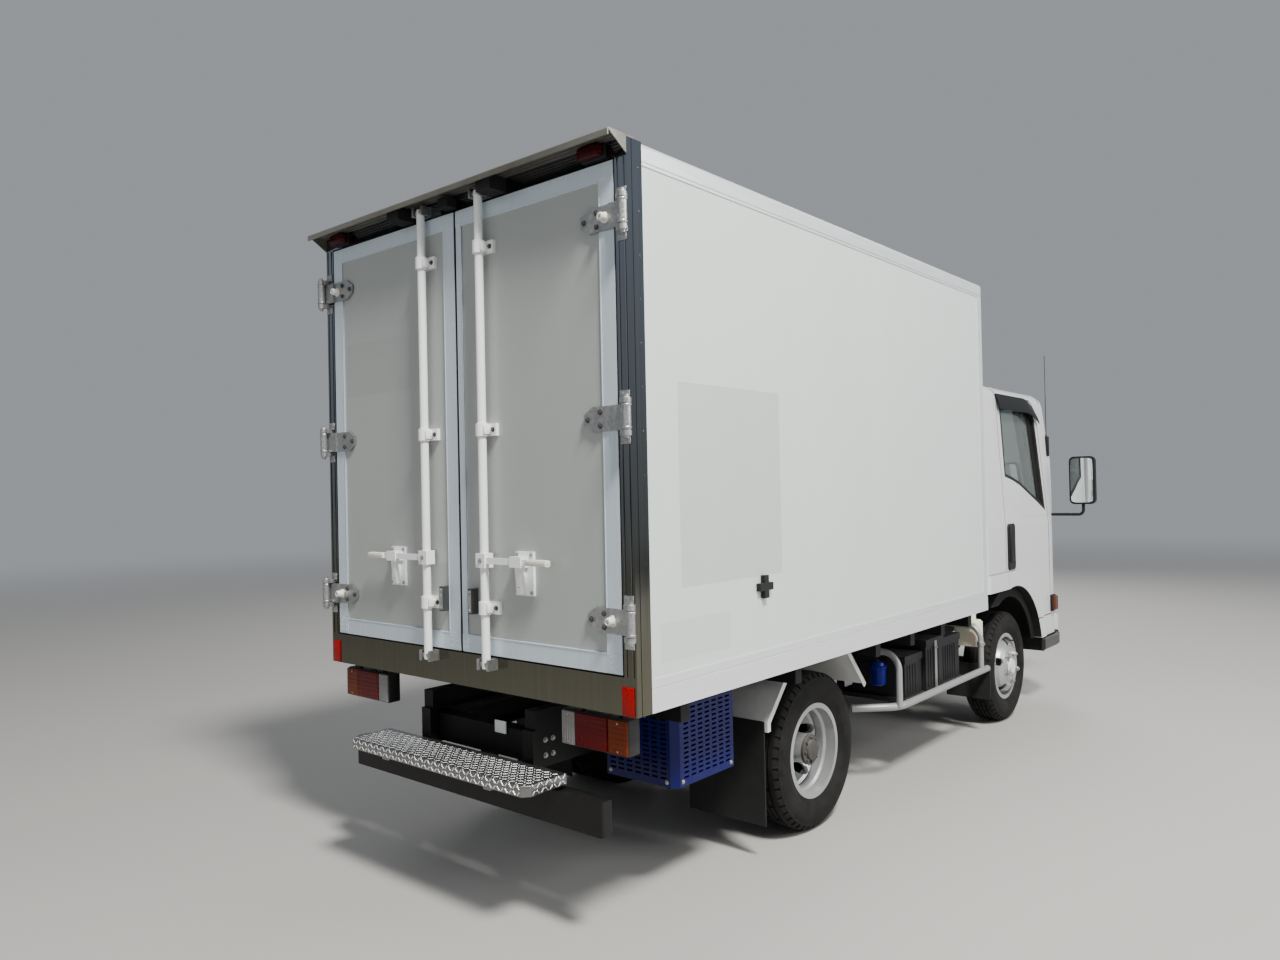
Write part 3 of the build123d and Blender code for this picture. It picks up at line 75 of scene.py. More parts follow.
class Wire:
    """An output of one step of a finish, which adds and multiplies like a number."""

    def __init__(self, finish, socket):
        self.finish, self.socket = finish, socket

    __add__ = __radd__ = math_node("ADD")
    __mul__ = __rmul__ = math_node("MULTIPLY")
    __sub__ = math_node("SUBTRACT")
    __rsub__ = math_node("SUBTRACT", swapped=True)
    __gt__ = math_node("GREATER_THAN")
    __lt__ = math_node("LESS_THAN")
    __abs__ = math_node("ABSOLUTE")
    sine = math_node("SINE")
    larger = math_node("MAXIMUM")


class Finish:
    """One real surface: a shader fed by steps that read where a point is on the truck."""

    def __init__(self, name, colour, **fixed):
        self.material = bpy.data.materials.new(name)
        self.material.use_nodes = True
        self.tree = self.material.node_tree
        self.shader = self.tree.nodes["Principled BSDF"]
        self.set("Base Color", (*colour, 1))
        for socket, value in fixed.items():
            self.set(socket.replace("_", " ").title().replace("Ior", "IOR"), value)
        self.place = self.step("TexCoord", output="Object")

    def plug(self, socket, value):
        if isinstance(value, Wire):
            self.tree.links.new(value.socket, socket)
        else:
            socket.default_value = value

    def step(self, kind, settings=None, inputs=None, output=0):
        node = self.tree.nodes.new("ShaderNode" + kind)
        for setting, value in (settings or {}).items():
            setattr(node, setting, value)
        for key, value in (inputs or {}).items():
            self.plug(node.inputs[key], value)
        return Wire(self, node.outputs[output])

    def set(self, socket, value):
        self.plug(self.shader.inputs[socket], value)

    def axes(self):
        split = self.step("SeparateXYZ", inputs={0: self.place})
        return [Wire(self, output) for output in split.socket.node.outputs]

    def stretched(self, x, y, z):
        return self.step("Mapping", inputs={"Vector": self.place, "Scale": (x, y, z)})

    def cloud(self, scale, detail=4, rough=0.55, where=None):
        return self.step("TexNoise", inputs={"Vector": where or self.place, "Scale": scale, "Detail": detail,
            "Roughness": rough}, output="Fac")

    def blotches(self, start, end, *cloud):
        return self.grade(self.cloud(*cloud), 0, 1, start, end)

    def cells(self, scale, feature="F1"):
        return self.step("TexVoronoi", {"feature": feature}, {"Vector": self.place, "Scale": scale},
            output="Distance")

    def grade(self, value, low, high, start=0.0, end=1.0):
        return self.step("MapRange", inputs={0: value, 1: start, 2: end, 3: low, 4: high})

    def tint(self, amount, first, second):
        shades = {key: shade if isinstance(shade, Wire) else (*shade, 1) for key,
            shade in ((6, first), (7, second))}
        return self.step("Mix", {"data_type": "RGBA"}, {0: amount, **shades}, output=2)

    def colour(self, amount, first, second):
        self.set("Base Color", self.tint(amount, first, second))

    def dull(self, amount, least, more):
        self.set("Roughness", amount * more + least)

    def relief(self, height, depth):
        self.set("Normal", self.step("Bump", inputs={"Height": height, "Distance": depth, "Strength": 1.0}))

    def grain(self, depth, *cloud):
        self.relief(self.cloud(*cloud), depth)


bpy.ops.mesh.primitive_plane_add(size=120)
floor = bpy.context.object
floor.name = "studio_floor"
room_colour, room_light = (0.8, 0.84, 0.9, 1), 0.4
floor_paint = Finish("floor_paint", (0.36, 0.352, 0.335), roughness=0.75)
distance = floor_paint.step("VectorMath", {"operation": "LENGTH"}, {0: floor_paint.place}, output="Value")
reach = floor_paint.step("MapRange", {"interpolation_type": "SMOOTHSTEP"},
    {"Value": distance, "From Min": 7, "From Max": 26})
far_glow = floor_paint.step("Emission", inputs={"Color": room_colour, "Strength": room_light})
near_paint = Wire(floor_paint, floor_paint.shader.outputs[0])
fade = floor_paint.step("MixShader", inputs={0: reach, 1: near_paint, 2: far_glow})
floor_paint.plug(floor_paint.tree.nodes["Material Output"].inputs["Surface"], fade)
floor.data.materials.append(floor_paint.material)

room = bpy.data.worlds.new("studio_room")
room.use_nodes = True
background = room.node_tree.nodes["Background"].inputs
background["Color"].default_value = room_colour
background["Strength"].default_value = room_light
bpy.context.scene.world = room
lamp_plan = (
    # name, place, aimed at, width, watts, tint
    ("key_lamp", (-4.2, -6.2, 10.0), (-0.5, 0, 1.0), 1.8, 2650, (1.0, 0.98, 0.94)),
    ("side_lamp", (3.0, -10.5, 5.5), (0, 0, 1.2), 5.0, 850, (1.0, 1.0, 1.0)),
    ("rear_lamp", (-10.5, -1.0, 4.5), (-2.0, 0, 1.4), 6.0, 70, (0.92, 0.96, 1.0)),
    ("front_lamp", (9.0, 4.0, 6.0), (1.5, 0, 1.2), 5.0, 500, (1.0, 1.0, 1.0)),
)
for lamp_name, place, target, width, watts, tint in lamp_plan:
    aim = (Vector(target) - Vector(place)).to_track_quat("-Z", "Y").to_euler()
    bpy.ops.object.light_add(type="AREA", location=place, rotation=aim)
    lamp = bpy.context.object
    lamp.name = lamp_name
    lamp.data.size = width
    lamp.data.energy = watts
    lamp.data.color = tint

# The chassis: two pressed steel rails with cross members, sprayed black, and the axles,
# springs, tank and exhaust hung on it. Road dust dulls whatever sits low or faces up.


def facing_up(finish):
    """How far a surface faces the sky, from 0 to 1."""
    normal = finish.step("NewGeometry", output="Normal")
    up = finish.step("SeparateXYZ", inputs={0: normal}, output=2)
    return finish.grade(up, 0, 1, 0.2, 0.9)


def shine(colour):
    """The specular level for a colour, less for dark ones, which the soft lamps would grey."""
    return 0.5 if max(colour) > 0.2 else 0.2


def sprayed(name, colour, roughness, dust, dust_top, coat=0.0, grain=220, metallic=0.0):
    """Spray paint with orange peel, and dust that thickens towards the road and on top faces."""
    paint = Finish(name, colour, roughness=roughness, metallic=metallic, coat_weight=coat,
        coat_roughness=0.08, specular_ior_level=shine(colour))
    low = paint.grade(paint.axes()[2], 1, 0, 0.1, dust_top)
    mottle = paint.blotches(0.42, 0.72, 3.2, 8, 0.7)
    fine = paint.cloud(60, 5)
    settled = (low * (mottle * 0.7 + 0.3) + facing_up(paint) * 0.35 * mottle) * dust
    paint.coloured = paint.tint(settled, paint.tint(fine * 0.25, colour, [c * 0.8 for c in colour]),
        (0.26, 0.235, 0.2))
    paint.set("Base Color", paint.coloured)
    paint.set("Roughness", settled * 0.5 + fine * 0.08 + (roughness - 0.04))
    paint.grain(0.0004, grain, 3)
    return paint


def cover(finish, *nodes):
    """Gives CAD nodes their finish."""
    for node in nodes:
        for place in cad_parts[node].material_slots:
            place.material = finish.material


def alone(piece):
    """Leaves one piece selected, because an operator acts on all that is selected."""
    bpy.ops.object.select_all(action="DESELECT")
    piece.select_set(True)
    bpy.context.view_layer.objects.active = piece
    return piece


def start(name, kind, **shape):
    """Adds a primitive at its size and place, to be shaped from there."""
    bpy.ops.object.select_all(action="DESELECT")
    getattr(bpy.ops.mesh, f"primitive_{kind}_add")(**shape)
    bpy.context.object.name = name
    return bpy.context.object


def settle(piece):
    """Puts a piece's place, turn and size into its mesh."""
    alone(piece)
    bpy.ops.object.transform_apply(location=True, rotation=True, scale=True)
    return piece


def modify(piece, kind, **settings):
    """Adds a modifier and applies it."""
    alone(piece)
    modifier = piece.modifiers.new(kind.lower(), kind)
    for setting, value in settings.items():
        setattr(modifier, setting, value)
    bpy.ops.object.modifier_apply(modifier=modifier.name)
    return piece


def at(distance):
    """The X of a distance forward of the box's rear face."""
    return rear_x + distance


def plain_block(name, xs, ys, zs):
    """A square-edged solid between pairs of coordinates."""
    piece = start(name, "cube", size=1, location=[sum(pair) / 2 for pair in (xs, ys, zs)])
    piece.scale = [abs(pair[1] - pair[0]) for pair in (xs, ys, zs)]
    return settle(piece)


def rounded(piece, edge, steps=2):
    """Rounds a piece's edges over."""
    return modify(piece, "BEVEL", width=edge, segments=steps)


def block(name, xs, ys, zs, edge=0.002, steps=2):
    """A solid with rounded edges, whose pair for X is distances forward of the box's rear face."""
    return rounded(plain_block(name, [at(x) for x in xs], ys, zs), edge, steps)


def edit(piece):
    """Goes into edit mode with all of a piece selected."""
    alone(piece)
    bpy.ops.object.mode_set(mode="EDIT")
    bpy.ops.mesh.select_all(action="SELECT")


def edited(piece):
    """Comes back from edit mode."""
    bpy.ops.object.mode_set(mode="OBJECT")
    return piece


def outwards():
    """Turns the selected faces to look outwards."""
    bpy.ops.mesh.normals_make_consistent(inside=False)


def pick(piece, wanted):
    """Goes into edit mode with the faces selected whose centre and normal pass a test."""
    edit(piece)
    bpy.ops.mesh.select_mode(type="FACE")
    bpy.ops.mesh.select_all(action="DESELECT")
    edited(piece)
    for face in piece.data.polygons:
        face.select = bool(wanted(face.center, face.normal))
    bpy.ops.object.mode_set(mode="EDIT")


def sunk(piece, wanted, rim, depth):
    """Insets the chosen faces by a rim and pushes them in, or out where the depth is negative."""
    pick(piece, wanted)
    bpy.ops.mesh.inset(thickness=rim, depth=0, use_boundary=True)
    bpy.ops.mesh.inset(thickness=0.0002, depth=-depth, use_boundary=True)
    return edited(piece)


def turned(name, centre, along, profile, sides=24, ring=False):
    """A round piece drawn out along an axis, by a profile of distances and radii by turns in millimetres."""
    stations = [(profile[n] / 1000, profile[n + 1] / 1000) for n in range(0, len(profile), 2)]
    piece = start(name, "circle", vertices=sides, radius=stations[0][1], location=(0, 0, stations[0][0]),
        fill_type="NOTHING" if ring else "NGON")
    settle(piece)
    bpy.ops.object.mode_set(mode="EDIT")
    bpy.ops.mesh.select_mode(type="VERT" if ring else "FACE")
    bpy.ops.mesh.select_all(action="SELECT")
    for (here, wide), (there, narrow) in zip(stations, stations[1:]):
        bpy.ops.mesh.extrude_region()
        bpy.ops.transform.translate(value=(0, 0, there - here))
        bpy.ops.transform.resize(value=(narrow / wide, narrow / wide, 1), center_override=(0, 0, there))
    bpy.ops.mesh.select_mode(type="VERT")
    bpy.ops.mesh.select_all(action="SELECT")
    bpy.ops.mesh.remove_doubles(threshold=0.00001)
    outwards()
    edited(piece)
    piece.rotation_euler = Vector(along).to_track_quat("Z", "Y").to_euler()
    piece.location = centre
    return settle(piece)


def joined(first, *others):
    """Joins pieces into the first."""
    alone(first)
    for other in others:
        other.select_set(True)
    bpy.ops.object.join()
    return first


def copied(piece, name, shift=(0, 0, 0), size=(1, 1, 1)):
    """A copy with its own mesh, moved or mirrored."""
    alone(piece)
    bpy.ops.object.duplicate()
    twin = bpy.context.object
    twin.name = name
    twin.location = shift
    twin.scale = size
    settle(twin)
    if min(size) < 0:
        edit(twin)
        outwards()
        edited(twin)
    return twin


def repeated(piece, shifts):
    """The piece at its own place and at each shift from it, as one."""
    return joined(piece, *[copied(piece, piece.name + "_copy", shift) for shift in shifts])


def at_heights(piece, heights):
    """The piece, made at the first height, at all of them."""
    return repeated(piece, [(0, 0, height - heights[0]) for height in heights[1:]])


def in_row(piece, count, shift):
    """The piece and its copies in a row, each one shift further on."""
    return modify(piece, "ARRAY", count=count, use_relative_offset=False, use_constant_offset=True,
        constant_offset_displace=shift)


def placed(piece, matrix):
    """Moves and turns a piece that was made at the origin."""
    piece.matrix_world = matrix
    return settle(piece)


def both_sides(piece):
    """The piece and its mirror image on the other side of the truck, as one."""
    return joined(piece, copied(piece, piece.name + "_copy", size=(1, -1, 1)))


def fit(piece, finish, body="root", smooth=35):
    """Gives a piece its finish, smooth shading and the body that it rides on."""
    piece.data.materials.clear()
    piece.data.materials.append(finish.material)
    for face in piece.data.polygons:
        face.material_index = 0
    alone(piece)
    bpy.ops.object.shade_smooth_by_angle(angle=radians(smooth))
    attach(piece, body)
    return piece


def bolt(name, centre, along, across=9, high=6):
    """A hexagon head on its washer, with the end chamfered, in millimetres."""
    head = turned(name, centre, along, (0, across * 0.95, 2, across * 0.95, 2.1, across * 0.72, high,
        across * 0.72, high + 1.2, across * 0.55), sides=6)
    washer = turned(name + "_washer", centre, along, (-0.5, across, 1.5, across, 2.1, across * 0.93),
        sides=16)
    return joined(head, washer)


chassis_black = sprayed("chassis_black", (0.0045, 0.0045, 0.005), 0.5, 0.1, 0.8)
axle_black = sprayed("axle_black", (0.016, 0.0155, 0.015), 0.5, 0.3, 0.7)
spring_black = sprayed("spring_black", (0.02, 0.019, 0.018), 0.62, 0.35, 0.8)
engine_grey = sprayed("engine_grey", (0.13, 0.13, 0.135), 0.6, 0.7, 1.2)
bolt_zinc = sprayed("bolt_zinc", (0.42, 0.42, 0.41), 0.4, 0.5, 0.9, metallic=0.9)
guard_black = sprayed("guard_black", (0.005, 0.005, 0.0055), 0.42, 0.05, 0.7)
cover(guard_black, "underrun_bar")
cover(chassis_black, "chassis_frame", "floor_bearers")
cover(axle_black, "front_axle", "rear_axle", "driveline", "knuckle_left", "knuckle_right")
cover(spring_black, "leaf_springs")
cover(engine_grey, "engine")

rail_face_y = 0.35
cross_members_at = (0.15, 0.9, 2.15, 2.7, 3.11, 4.8)
first_member = cross_members_at[0]
rail_bolt = bolt("rail_bolts", (at(first_member) - 0.02, rail_face_y, 0.585), (0, 1, 0), 11, 8)
repeated(rail_bolt, ((0.04, 0, 0), (0, 0, 0.06), (0.04, 0, 0.06)))
repeated(rail_bolt, [(place - first_member, 0, 0) for place in cross_members_at[1:]])
fit(both_sides(rail_bolt), bolt_zinc)

# The air lines and the loom: nylon tube clipped along the inside of the left rail.
loom_rings = [value for ring in range(56) for value in (50 * ring, 11 + 1.2 * (ring % 2))]
loom = turned("frame_loom", (at(0.2), 0.262, 0.672), (1, 0, 0), loom_rings, sides=10)
loom_clip = block("loom_clips", (0.3, 0.322), (0.248, 0.292), (0.657, 0.688), 0.003)
in_row(loom_clip, 6, (0.42, 0, 0))


def moulded(name, colour, roughness, grain=500, depth=0.0001, fade=0.0):
    """Moulded plastic with a leather grain, a little greyed where the sun reaches it."""
    plastic = Finish(name, colour, roughness=roughness, specular_ior_level=shine(colour))
    worn = plastic.blotches(0.35, 0.75, 2.5, 6)
    plastic.colour(worn * fade + facing_up(plastic) * fade, colour, [c * 0.5 + 0.14 for c in colour])
    plastic.dull(plastic.cloud(35, 4), roughness - 0.06, 0.12)
    plastic.relief(plastic.grade(plastic.cells(grain, "DISTANCE_TO_EDGE"), 0, 1, 0, 0.25), depth)
    return plastic


black_rubber = moulded("black_rubber", (0.009, 0.009, 0.009), 0.7, 260, 0.0002, 0.1)
fit(joined(loom, loom_clip), black_rubber)

# The fuel tank: welded sheet steel in black, held by two bands, with a filler neck and cap on its
# outer end.
tank_black = sprayed("tank_black", (0.02, 0.02, 0.021), 0.3, 0.7, 0.75, coat=0.3)
cover(tank_black, "fuel_tank")
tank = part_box("fuel_tank")
filler = turned("tank_filler", (tank[0][0] + 0.1, tank[1][1] - 0.075, tank[1][2] - 0.05), (0, 0.5, 0.86),
    (-20, 26, 30, 26, 31, 34, 52, 34, 56, 30), sides=28)
fit(filler, tank_black)

# The exhaust: mild steel pipe and silencer, browned by heat and road water.
pipe_steel = Finish("pipe_steel", (0.3, 0.27, 0.24), metallic=0.85, roughness=0.5)
rust = pipe_steel.blotches(0.4, 0.65, 9, 8, 0.7)
pipe_steel.colour(rust, (0.34, 0.32, 0.3), (0.12, 0.065, 0.035))
pipe_steel.set("Metallic", 0.9 - rust * 0.7)
pipe_steel.dull(rust, 0.4, 0.35)
pipe_steel.grain(0.0006, 140, 5)
cover(pipe_steel, "exhaust")

# The tyres: radial truck tyres in black rubber, moulded with four main grooves and notched shoulders,
# worn grey on the tread and dusty on the sides.
axle_height = 0.366
front_axle_x, rear_axle_x = at(4.02), at(1.48)
front_wheel_y = 0.705
twin_ys = (0.687, 0.471)
half_section = ((0, 365.5), (8.5, 365.7), (9, 357), (15, 357), (16, 365.5), (36, 365), (37, 356.5),
    (44, 356.5), (45, 364.5), (66, 362.2), (70, 360), (79, 351), (85, 342), (86.2, 341.8), (89, 335),
    (93.8, 320), (94.5, 319), (97.2, 299), (97.5, 292), (96, 272), (92, 254), (91.2, 253), (85, 239),
    (79, 228), (77.5, 226.2), (74.5, 221), (69, 207.5), (66, 208.5), (70, 240), (80, 290), (70, 340),
    (30, 348))
tyre_sides = 144
tyre_rubber = Finish("tyre_rubber", (0.02, 0.02, 0.02), roughness=0.75, specular_ior_level=0.15)
dusty = tyre_rubber.blotches(0.4, 0.75, 7, 8, 0.7)
tyre_rubber.colour(dusty * 0.3, (0.006, 0.006, 0.006), (0.06, 0.056, 0.05))
tyre_rubber.dull(dusty, 0.7, 0.15)
tyre_rubber.grain(0.0005, 240, 4)


def notch(middle, normal):
    """Every third face across the tyre's shoulders and every sixth in the ribs between its grooves."""
    across, number = abs(middle.y), int((atan2(middle.z, middle.x) / (2 * pi) + 1) * tyre_sides)
    distance = (middle.z * middle.z + middle.x * middle.x) ** 0.5
    in_shoulder = distance > 0.3425 and across > 0.0655 and number % 3 == 0
    return in_shoulder or (distance > 0.363 and 0.017 < across < 0.036 and number % 6 == 0)


far_section = [(-across, radius) for across, radius in reversed(half_section[1:])]
tyre_section = [value for station in (*half_section, *far_section, half_section[0]) for value in station]
tyre = turned("front_tyre_left_tread", (0, 0, 0), (0, 1, 0), tyre_section, tyre_sides, ring=True)
sunk(tyre, notch, 0.0006, 0.006)
each_side = ((1, "left"), (-1, "right"))
for side, word in each_side:
    front_tyre = copied(tyre, f"front_tyre_{word}_tread", (front_axle_x, side * front_wheel_y, axle_height))
    fit(front_tyre, tyre_rubber, f"front_wheel_{word}")
    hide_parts(f"front_tyre_{word}")
    outer, inner = (copied(tyre, f"rear_tyres_{word}_tread", (rear_axle_x, side * y,
        axle_height)) for y in twin_ys)
    fit(joined(outer, inner), tyre_rubber, f"rear_wheels_{word}")
    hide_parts(f"rear_tyres_{word}")
bpy.data.objects.remove(tyre)

# The wheels: pressed steel rims in silver paint with zinc nuts. The front ones carry a pale cap over
# the hub, and the twins a black flange on the end of the axle shaft.
wheel_silver = sprayed("wheel_silver", (0.4, 0.41, 0.415), 0.3, 0.2, 0.6, metallic=0.6)
cover(wheel_silver, "front_wheel_left", "front_wheel_right", "rear_wheels_left", "rear_wheels_right")
hub_black = sprayed("hub_black", (0.02, 0.02, 0.021), 0.4, 0.6, 0.6)
cap_pale = moulded("cap_pale", (0.6, 0.61, 0.58), 0.35)
nut_circle = 0.095
wheel_nuts = 5
disc_face_y = front_wheel_y + 0.108
twin_face_y = twin_ys[0] - 0.098


def around(piece, centre, count, first_turn=0.0):
    """Copies of a piece spaced evenly about a wheel's middle line."""
    members = []
    for number in range(count):
        turn_by = Matrix.Rotation(first_turn + number * 2 * pi / count, 4, "Y")
        members.append(placed(copied(piece, piece.name + "_copy"), Matrix.Translation(centre) @ turn_by))
    bpy.data.objects.remove(piece)
    return joined(*members)


for side, word in each_side:
    outward = (0, side, 0)
    for axle_x, face_y, body in ((front_axle_x, disc_face_y, f"front_wheel_{word}"),
            (rear_axle_x, twin_face_y, f"rear_wheels_{word}")):
        nut = turned(f"{body}_nuts", (0, 0, nut_circle), outward, (-1, 21, 3, 21, 6, 16.5, 20, 16.5, 22,
            13.5, 22.1, 8.5, 28, 8.5, 29, 7.5), sides=6)
        nuts = around(nut, (axle_x, side * face_y, axle_height), wheel_nuts, pi / wheel_nuts)
        fit(nuts, bolt_zinc, body, smooth=25)
        valve = turned(f"{body}_valve", (axle_x + 0.055, side * (face_y - 0.03), axle_height + 0.167),
            outward, (-20, 4.5, 26, 4.5, 27, 5.5, 38, 5.5, 39, 4.5), sides=12)
        fit(valve, black_rubber, body)
    cap = turned(f"front_wheel_{word}_cap", (front_axle_x, side * disc_face_y, axle_height), outward,
        (0, 58, 4, 58, 6, 52, 10, 47, 18.8, 45.5, 19.2, 43, 19.4, 20, 19.4, 4), sides=48)
    fit(cap, cap_pale, f"front_wheel_{word}")
    flange = turned(f"rear_wheels_{word}_flange", (rear_axle_x, side * 0.728, axle_height), outward,
        (0, 72, 12, 72, 14, 70, 15, 50, 26, 46, 28, 42, 28, 12), sides=40)
    stud = bolt("flange_bolts", (0, side * 0.012, 0.058), outward, 9, 8)
    studs = around(stud, (rear_axle_x, side * 0.73, axle_height), 8)
    fit(joined(flange, studs), hub_black, f"rear_wheels_{word}")

# The guards, mudguards and flaps: bent steel tube in silver, folded sheet in white, and sheet rubber.
guard_silver = sprayed("guard_silver", (0.3, 0.31, 0.31), 0.34, 0.2, 0.7, metallic=0.35)
mudguard_white = sprayed("mudguard_white", (0.6, 0.61, 0.6), 0.4, 0.7, 0.95)
cover(guard_silver, "side_guards")
cover(mudguard_white, "rear_mudguards")
cover(black_rubber, "mud_flaps", "door_stops")
clamp = turned("guard_clamps", (at(3.44), -0.83, 0.6), (0, 0, 1), (-15, 20.5, -13, 22, 13, 22, 15, 20.5),
    sides=24)
clamp = joined(clamp, bolt("clamp_bolt", (at(3.44), -0.8515, 0.6), (0, -1, 0), 8, 5))
fit(both_sides(clamp), bolt_zinc)

# The battery tray: moulded boxes with ribbed lids, strapped down, next to a rounded blue filter bowl.
tray_plastic = moulded("tray_plastic", (0.012, 0.012, 0.0135), 0.5, 420, 0.0002, 0.1)
liner_black = moulded("liner_black", (0.006, 0.006, 0.006), 0.75, 300, 0.0002)
cover(tray_plastic, "battery_box")
cover(liner_black, "arch_liners")
rib_pitch = 0.035
for number, (box_start, box_end, box_outer, box_top) in enumerate(((2.48, 2.7, 0.76, 0.655),
        (2.72, 2.96, 0.78, 0.715), (2.98, 3.26, 0.76, 0.69))):
    rib = block(f"battery_ribs_{number}", (box_start + 0.03, box_start + 0.036),
        (-box_outer - 0.004, -box_outer + 0.002), (0.44, box_top - 0.055), 0.0015)
    in_row(rib, int((box_end - box_start - 0.05) / rib_pitch), (rib_pitch, 0, 0))
    fit(rib, tray_plastic)
strap_steel = block("battery_strap", (2.83, 2.86), (-0.79, -0.7845), (0.43, 0.7), 0.0012)
strap_bolt = bolt("strap_bolt", (at(2.845), -0.791, 0.66), (0, -1, 0))
fit(joined(strap_steel, strap_bolt), bolt_zinc)
bowl_blue = moulded("bowl_blue", (0.001, 0.004, 0.15), 0.3)
bowl = turned("filter_bowl", (at(2.4), -0.64, 0.56), (0, 0, 1), (-62, 20, -60, 34, -52, 42, 30, 45, 34, 50,
    46, 50, 50, 40, 66, 34, 70, 20), sides=32)
fit(bowl, bowl_blue)
bowl_arm = block("filter_arm", (2.385, 2.415), (-0.645, -0.345), (0.628, 0.64), 0.002)
fit(bowl_arm, chassis_black)
bottle_plastic = moulded("bottle_plastic", (0.7, 0.68, 0.55), 0.35)
bottle_plastic.set("Subsurface Weight", 0.25)
cover(bottle_plastic, "reservoir")

# The condenser: a folded sheet steel case, powder coated a deep glossy blue and bolted at its corners,
# around a finned coil.
case_blue = sprayed("case_blue", (0.0004, 0.0015, 0.072), 0.36, 0.03, 0.6, coat=0.08)
cover(case_blue, "condenser_unit")
case_bolts = bolt("case_bolts", (at(0.44), -0.41, 0.467), (-1, 0, 0), 9, 5)
repeated(case_bolts, ((0, -0.295, 0), (0, 0, 0.35), (0, -0.295, 0.35)))
side_bolts = bolt("case_side_bolts", (at(0.484), -0.75, 0.467), (0, -1, 0), 9, 5)
repeated(side_bolts, ((0.325, 0, 0), (0, 0, 0.35), (0.325, 0, 0.35)))
fit(joined(case_bolts, side_bolts), bolt_zinc)
fin_dark = Finish("fin_dark", (0.05, 0.05, 0.052), roughness=0.55, metallic=0.6)
fin_dark.grain(0.0003, 300, 3)
fins = block("condenser_fins", (0.47, 0.4895), (-0.68, -0.676), (0.46, 0.82), 0.0005, 1)
fit(in_row(fins, 22, (0, 0.012, 0)), fin_dark)

# The step: aluminium tread plate folded down all round with its rear corners clipped, rolled with
# rows of raised lozenges that turn left and right by turns. The lozenges are coloured near white as
# painted highlights and the plate between them dark as painted shade, mottled by scuffs.
step_gauge = 0.003
step_skin = 0.0012
step_half = 0.555
step_clip = 0.026
step_x = (at(-0.165), at(0.045))
step_z = (0.532, 0.575)
sunk_in = 0.0003
tread_plate = Finish("tread_plate", (0.6, 0.61, 0.61), metallic=0.95, roughness=0.35)
scuff = tread_plate.cloud(18, 7, 0.65)
fore, across, up = tread_plate.axes()
# Painted highlight and shade: raised lozenges on every face are coloured bright, the plate between them
# dark.
raised = ((up > step_z[1] - step_skin + sunk_in) + (fore < step_x[0] + step_skin - sunk_in) +
    (abs(across) > step_half - step_skin + sunk_in))
tread_plate.colour(raised, tread_plate.tint(scuff, (0.17, 0.17, 0.17), (0.27, 0.27, 0.27)),
    tread_plate.tint(scuff, (0.86, 0.87, 0.87), (0.97, 0.97, 0.97)))
tread_plate.dull(scuff, 0.16, 0.3)
tread_plate.grain(0.0003, 300, 3)
step = plain_block("rear_step_plate", (step_x[0] + step_skin, step_x[1] - step_skin),
    (-step_half + step_skin, step_half - step_skin), (step_z[0], step_z[1] - step_skin))
for end in (1, -1):
    corner = (step_x[0] + step_skin + step_clip, end * (step_half - step_skin), 0)
    edit(step)
    bpy.ops.mesh.bisect(plane_co=corner, plane_no=(-1, end, 0), use_fill=True, clear_outer=True)
    edited(step)
rounded(step, 0.004, 3)
pick(step, lambda middle, normal: normal.z < -0.999)
bpy.ops.mesh.inset(thickness=step_gauge, depth=0)
bpy.ops.mesh.inset(thickness=0.0002, depth=step_gauge - step_z[1] + step_z[0])
edited(step)


def lozenge(middle, lean, normal):
    """One raised lozenge of the rolled pattern, tapered to its ends."""
    piece = start("step_tread", "cube", size=1)
    piece.scale = (0.0225, 0.007, 0.003)
    settle(piece)
    pick(piece, lambda face_middle, face_normal: face_normal.z > 0.5)
    bpy.ops.transform.resize(value=(0.72, 0.45, 1), center_override=(0, 0, 0))
    facing = Vector(normal).to_track_quat("Z", "Y").to_matrix().to_4x4()
    return placed(edited(piece), Matrix.Translation(middle) @ facing @ Matrix.Rotation(lean, 4, "Z"))


def tread_rows(corner, normal, across, along, across_count, along_count):
    """Lozenges in rows on one face, each turned the other way from its neighbours."""
    corner, across, along = Vector(corner), Vector(across) * tread_pitch, Vector(along) * tread_pitch
    family = []
    for lean, parity in ((pi / 4, 0), (-pi / 4, 1)):
        for row in (0, 1):
            offset = (row + parity) % 2
            piece = lozenge(corner + across * row + along * offset, lean, normal)
            in_row(piece, (across_count + 1 - row) // 2, across * 2)
            family.append(in_row(piece, (along_count + 1 - offset) // 2, along * 2))
    return joined(*family)


tread_pitch = 0.0215
top_z, side_z = step_z[1] - step_skin - sunk_in, step_z[0] + 0.0115
joined(step, tread_rows((step_x[0] + 0.022, -0.527, top_z), (0, 0, 1), (1, 0, 0), (0, 1, 0), 8, 50))
joined(step, tread_rows((step_x[0] + step_skin + sunk_in, -0.516, side_z), (-1, 0, 0), (0, 0, 1), (0, 1, 0),
    2, 49))
for end in (1, -1):
    end_face = end * (step_half - step_skin - sunk_in)
    joined(step, tread_rows((step_x[0] + 0.042, end_face, side_z), (0, end, 0), (0, 0, 1), (1, 0, 0), 2, 8))
    joined(step, block("step_arm", (-0.145, 0.04), (end * 0.3, end * 0.34), (0.515, 0.5705), 0.003))
fit(step, tread_plate, smooth=30)
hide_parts("rear_step")

# The tail lamps: black moulded housings with ribbed lenses, clear inside, red in the middle and amber
# outside, screwed to brackets under the frame. Dark red marker lamps sit under the hood.
housing_black = moulded("housing_black", (0.016, 0.016, 0.017), 0.45, 420, 0.0001, 0.15)


def lens(name, colour, ridges):
    """A moulded lens with fine upright flutes behind its face."""
    shell = Finish(name, colour, roughness=0.22, specular_ior_level=0.2)
    fore, across, up = shell.axes()
    flute = (across * ridges).sine()
    shell.colour(abs(flute) * 0.55, colour, [shade * 0.35 for shade in colour])
    shell.relief(flute + (up * (ridges * 0.5)).sine() * 0.5, 0.0012)
    return shell


